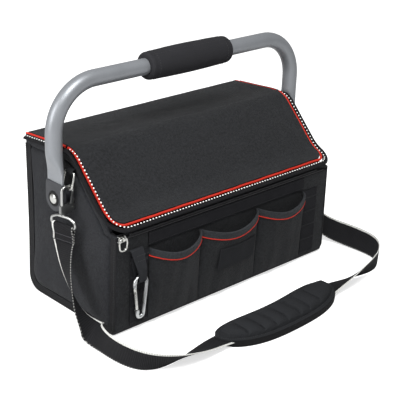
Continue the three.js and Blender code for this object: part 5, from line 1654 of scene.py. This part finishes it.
# Snap hooks
# A swivel snap hook on each end of the strap: a cast block, a bent wire jaw over the ring, and a
# sprung lever that shuts the jaw. Below it an eye of bent wire turns on a short stem.
EYE_TURN = math.radians(13)
STEM_X = 250
STEM_Y = -13
CHEEK_CORNERS = ((231, 184, 2), (231, 175.5, 3), (244.4, 170, 3), (255.6, 170, 3), (255.6, 184, 0.6))
BLOCK_CORNERS = (
    (242.4, 184), (242.4, 171.2, 0.5), (244.4, 170, 1), (255.6, 170, 3), (255.6, 184, 0.6),
)
LEVER_CORNERS = (
    (233.1, 177.1, 2.2), (237.9, 177.1, 2.2), (237.9, 183.5, 2), (234.6, 202.4, 0.5),
    (231.4, 202.4, 0.5), (231.6, 193.5), (230, 189.5, 1.5), (231.6, 185.5),
)
EYE_CORNERS = (
    (-35, 152, 4), (9, 152, 4), (9, 161.5, 5), (-2, 166.5, 6), (-24, 166.5, 6), (-35, 161.5, 5),
)
JAW_CORNERS = ((252, 178), (252, 211.2, 6), (233, 211.2, 6), (233, 202.8))


def eye_turned(side, x, y, z):
    """A point of the eye or of the strap's turn, swivelled about the hook's upright stem."""
    c, s = math.cos(EYE_TURN), math.sin(EYE_TURN)
    dx, dy = x - STEM_X, y - STEM_Y
    return Vector((side * (STEM_X + dx * c + dy * s), STEM_Y - dx * s + dy * c, z))


def hook_outline(side, corners):
    """A plate's outline in the plane of the hook, from corners (x, z, radius)."""
    rounded = cornered([(x, 0, z, *r) for x, z, *r in corners], closed=True, turn=15)
    return [(side * p.x, p.z) for p in rounded]


def drawn_ends(radius, sides, last, share):
    """A round section that is drawn in at both ends of a path."""
    whole = round_section(radius, sides)
    drawn = [(a * share, b * share) for a, b in whole]
    return lambda i: drawn if i in (0, last) else whole


hook_steel = plated_finish("hook_steel", linear("8b8c8b"), 1.2)
wire_steel = plated_finish("hook_wire_steel", linear("b4b5b3"), 0.9)
for side, name in SIDES:
    cheek = hook_outline(side, CHEEK_CORNERS)
    block = hook_outline(side, BLOCK_CORNERS)
    jaw_path = cornered([(x, STEM_Y, z, *r) for x, z, *r in JAW_CORNERS], turn=9)
    jaw = [Vector((side * p.x, p.y, p.z)) for p in jaw_path]
    pin_path = [Vector((side * 235.5, y, 179.5)) for y in (-16.0, -15.8, -13, -10.2, -10.0)]
    pin_section = drawn_ends(1.1, 12, 4, 0.8 / 1.1)
    parts = [
        plate(name + "_hook_cheek_0", cheek, -15.7, -14.4, hook_steel, 0.35),
        plate(name + "_hook_cheek_1", cheek, -11.6, -10.3, hook_steel, 0.35),
        plate(name + "_hook_block", block, -14.5, -11.5, hook_steel, 0.1),
        swept(name + "_hook_jaw", jaw, round_section(2.2, 16), (0, 1, 0), wire_steel),
        swept(name + "_hook_pin", pin_path, pin_section, (0, 0, 1), wire_steel),
    ]
    for piece in parts:
        fitted(piece, "bag", "plated_steel", name + "_hook_body")
    eye_path = cornered([(STEM_X, y, z, r) for y, z, r in EYE_CORNERS], closed=True, turn=12)
    eye_line = [eye_turned(side, *p) for p in spaced(eye_path, 2.5, closed=True)]
    stem_path = [eye_turned(side, STEM_X, STEM_Y, z) for z in (165.6, 166.4, 172.5, 174.4)]
    flat_way = eye_turned(side, STEM_X + 1, STEM_Y, 0) - eye_turned(side, STEM_X, STEM_Y, 0)
    eye_section, stem_section = round_section(2.0, 16), round_section(2.3, 14)
    for piece in (
        swept(name + "_hook_eye_wire", eye_line, eye_section, flat_way, wire_steel, closed=True),
        swept(name + "_hook_stem", stem_path, stem_section, flat_way, wire_steel),
    ):
        fitted(piece, "bag", "plated_steel", name + "_hook_eye")
    lever = hook_outline(side, LEVER_CORNERS)
    gate = plate(name + "_hook_lever", lever, -14.2, -11.8, wire_steel, 0.4)
    fitted(gate, name + "_gate_lever", "plated_steel", name + "_hook_gate")

# Strap turns
# Each end of the strap goes through its hook's eye, comes back on itself and is sewn down with a
# box of paler thread just below the eye.
TURN_FACE = 252.2
TURN_CORNERS = (
    (248.7, 128.4), (248.9, 140, 6), (246.8, 147.5, 5), (246.8, 155.1, 3.1),
    (253.2, 155.1, 3.1), (253.2, 147.5, 5), (251.1, 140, 6), (251.3, 128.4),
)
BOX_LOW = 129.6
BOX_HIGH = 138.2
turn_line = cornered([(x, 0, z, *r) for x, z, *r in TURN_CORNERS], turn=12)
box_thread = thread_finish("box_thread", linear("4c4c50"))
for side, name in SIDES:
    path = [eye_turned(side, p.x, STEM_Y, p.z) for p in turn_line]
    here = eye_turned(side, STEM_X, STEM_Y, 0)
    way = eye_turned(side, STEM_X, STEM_Y + 1, 0) - here
    out = eye_turned(side, STEM_X + 1, STEM_Y, 0) - here
    turn_section = flat_band(STRAP_WIDTH, 1.7, 14)
    fold = swept(name + "_strap_turn_fold", path, turn_section, way, strap_finish)
    fitted(fold, "bag", "webbing", name + "_strap_turn")
    box = [[(y, z) for y in range(-31, 6, 2)] for z in (BOX_LOW, BOX_HIGH)]
    box += [[(y, BOX_LOW + 8.6 * k / 5) for k in range(6)] for y in (-31, 5)]
    rows = [[(eye_turned(side, TURN_FACE, y, z), out) for y, z in line] for line in box]
    sewn(name + "_strap_turn_stitches", rows, 2.0, 0.7, 2.7, "webbing", box_thread)

# Carabiner loop
# A tapered strip of smooth webbing is folded over and sewn under the front band at its left end;
# the carabiner hangs in it.
LOOP_CORNERS = (
    (-107.3, 133.6), (-110.6, 132.6, 2), (-119.6, 103.5, 9), (-119.6, 82.2, 4.5),
    (-107.9, 82.2, 4.5), (-107.9, 121),
)
LOOP_TOP = 134
LOOP_TAPER = 43.5
LOOP_WIDTH = 24
loop_line = cornered([(0, *corner) for corner in LOOP_CORNERS], turn=10)
loop_path = []
for p in loop_line:
    x = -188.5 + 4.5 * (min(1, (LOOP_TOP - p.z) / LOOP_TAPER) - 1)
    loop_path.append(Vector((x, p.y, p.z)))
loop_webbing = webbing_finish("loop_webbing", linear("28292c"), rib=0.0016, slant=0)


def loop_section(i):
    """The strip's section, narrower towards the carabiner."""
    share = held((LOOP_TOP - loop_path[i].z) / LOOP_TAPER)
    half = (LOOP_WIDTH - 10 * share) / 2
    return [(a * half / 12, b) for a, b in flat_band(LOOP_WIDTH, 1.3, 8)]


loop = swept("carabiner_loop_strip", loop_path, loop_section, (1, 0, 0), loop_webbing)
loop_seams = []
for rise in (128, 119):
    y = next(p.y for p in loop_path if p.z < rise) - 1.0
    xs = [-201 + 20 * k / 12 + (LOOP_TOP - rise) * 0.18 for k in range(13)]
    loop_seams.append([((x, y, rise), (0, -1, 0.3)) for x in xs])
fitted(loop, "bag", "webbing", "carabiner_loop")
sewn("carabiner_loop_stitches", loop_seams, 2.0, 0.7, 2.8, "webbing")

# Carabiner
# A small aluminium carabiner bent from one rod, wider at its top. Its straight gate hinges on a
# cross pin at the foot and shuts against the rod's upper end.
CARABINER_Y = -113.8
EAR_OUTLINE = (
    (-2.3, 37.5), (-2.3, 33), (-1.6, 31.3), (0, 30.6), (1.6, 31.3), (2.3, 33), (2.3, 37.5),
)
TONGUE_OUTLINE = ((-1.7, 39), (-1.7, 33), (0, 31.4), (1.7, 33), (1.7, 39))
GATE_HEIGHTS = (38.3, 38.9, 45, 55, 65, 72.9, 73.5)
anodised = plated_finish("bare_aluminium", linear("c9cbcc"), 0.8)


def on_side(z):
    """The gate side's place along X at a height."""
    return -193.5 - 7.5 * (z - 24.5) / 66


rod_corners = (
    (on_side(74), 74), (-201, 90.5, 11.5), (-176, 90.5, 11.5), (-183.5, 24.5, 4.6),
    (-193.5, 24.5, 4.6), (on_side(37), 37),
)
rod_path = spaced(cornered([(x, CARABINER_Y, z, *r) for x, z, *r in rod_corners], turn=8), 2)
rod_section = drawn_ends(3, 20, len(rod_path) - 1, 0.86)
rod = swept("carabiner_rod", rod_path, rod_section, (0, 1, 0), anodised)
pin_path = [Vector((on_side(33), CARABINER_Y + y, 33)) for y in (-3.3, -3.1, 0, 3.1, 3.3)]
pin = swept("carabiner_pin", pin_path, round_section(0.9, 12), (0, 0, 1), nickel)
ear_outline = [(on_side(z) + dx, z) for dx, z in EAR_OUTLINE]
for side, name in ((1, "rear"), (-1, "front")):
    low, high = sorted((CARABINER_Y + side * 1.75, CARABINER_Y + side * 2.9))
    ear = plate("carabiner_ear_" + name, ear_outline, low, high, anodised, 0.3)
    fitted(ear, "carabiner", "plated_steel", "carabiner_body")
for piece in (rod, pin):
    fitted(piece, "carabiner", "plated_steel", "carabiner_body")
gate_path = [Vector((on_side(z), CARABINER_Y, z)) for z in GATE_HEIGHTS]
gate_section = drawn_ends(2.5, 20, len(gate_path) - 1, 0.84)
gate_rod = swept("carabiner_gate_rod", gate_path, gate_section, (0, 1, 0), nickel)
tongue_outline = [(on_side(z) + dx, z) for dx, z in TONGUE_OUTLINE]
low, high = CARABINER_Y - 1.4, CARABINER_Y + 1.4
tongue = plate("carabiner_gate_tongue", tongue_outline, low, high, nickel, 0.3)
for piece in (gate_rod, tongue):
    fitted(piece, "carabiner_gate_lever", "plated_steel", "carabiner_gate")

# Floor and light
# A plain white floor that runs on to the horizon, a broad soft lamp above and another at the left.
FLOOR_REACH = 9000
FLOOR_Z = -0.4
ROOM_LIGHT = 0.36
SEEN_LIGHT = 0.7
floor_finish = Finish("white_floor")
lens = floor_finish.node("LightPath", out="Is Camera Ray")
floor_finish.coat(
    Base_Color=linear("ececec"),
    Roughness=1.0,
    Specular_IOR_Level=0.0,
    Emission_Color=floor_finish.between(lens, (0, 0, 0), (1, 1, 1)),
    Emission_Strength=0.66,
)
floor_corners = [
    (x * FLOOR_REACH, y * FLOOR_REACH, FLOOR_Z) for x, y in ((-1, -1), (1, -1), (1, 1), (-1, 1))
]
floor = shown("floor", floor_corners, [(0, 1, 2, 3)], floor_finish.material)
world = bpy.data.worlds.new("room")
bpy.context.scene.world = world
world.use_nodes = True
sky = world.node_tree
background = sky.nodes["Background"]
background.inputs["Color"].default_value = (1, 1, 1, 1)
ray = sky.nodes.new("ShaderNodeLightPath")
seen = sky.nodes.new("ShaderNodeMath")
seen.operation = "MULTIPLY_ADD"
seen.inputs[1].default_value = SEEN_LIGHT
seen.inputs[2].default_value = ROOM_LIGHT
sky.links.new(ray.outputs["Is Camera Ray"], seen.inputs[0])
sky.links.new(seen.outputs[0], background.inputs["Strength"])


def lamp(name, place, aim, size, power):
    """A round area lamp at a place in metres, turned to its aim."""
    made = bpy.data.objects.new(name, bpy.data.lights.new(name, "AREA"))
    made.data.shape = "DISK"
    made.data.size = size
    made.data.energy = power
    made.location = place
    made.rotation_euler = (Vector(aim) - Vector(place)).to_track_quat("-Z", "Y").to_euler()
    bpy.context.scene.collection.objects.link(made)


lamp("soft_above", (-0.6, -0.7, 1.9), (0, 0, 0.1), 1.1, 44)
lamp("soft_left", (-2.0, 0.2, 1.0), (0, 0, 0.15), 1.2, 30)
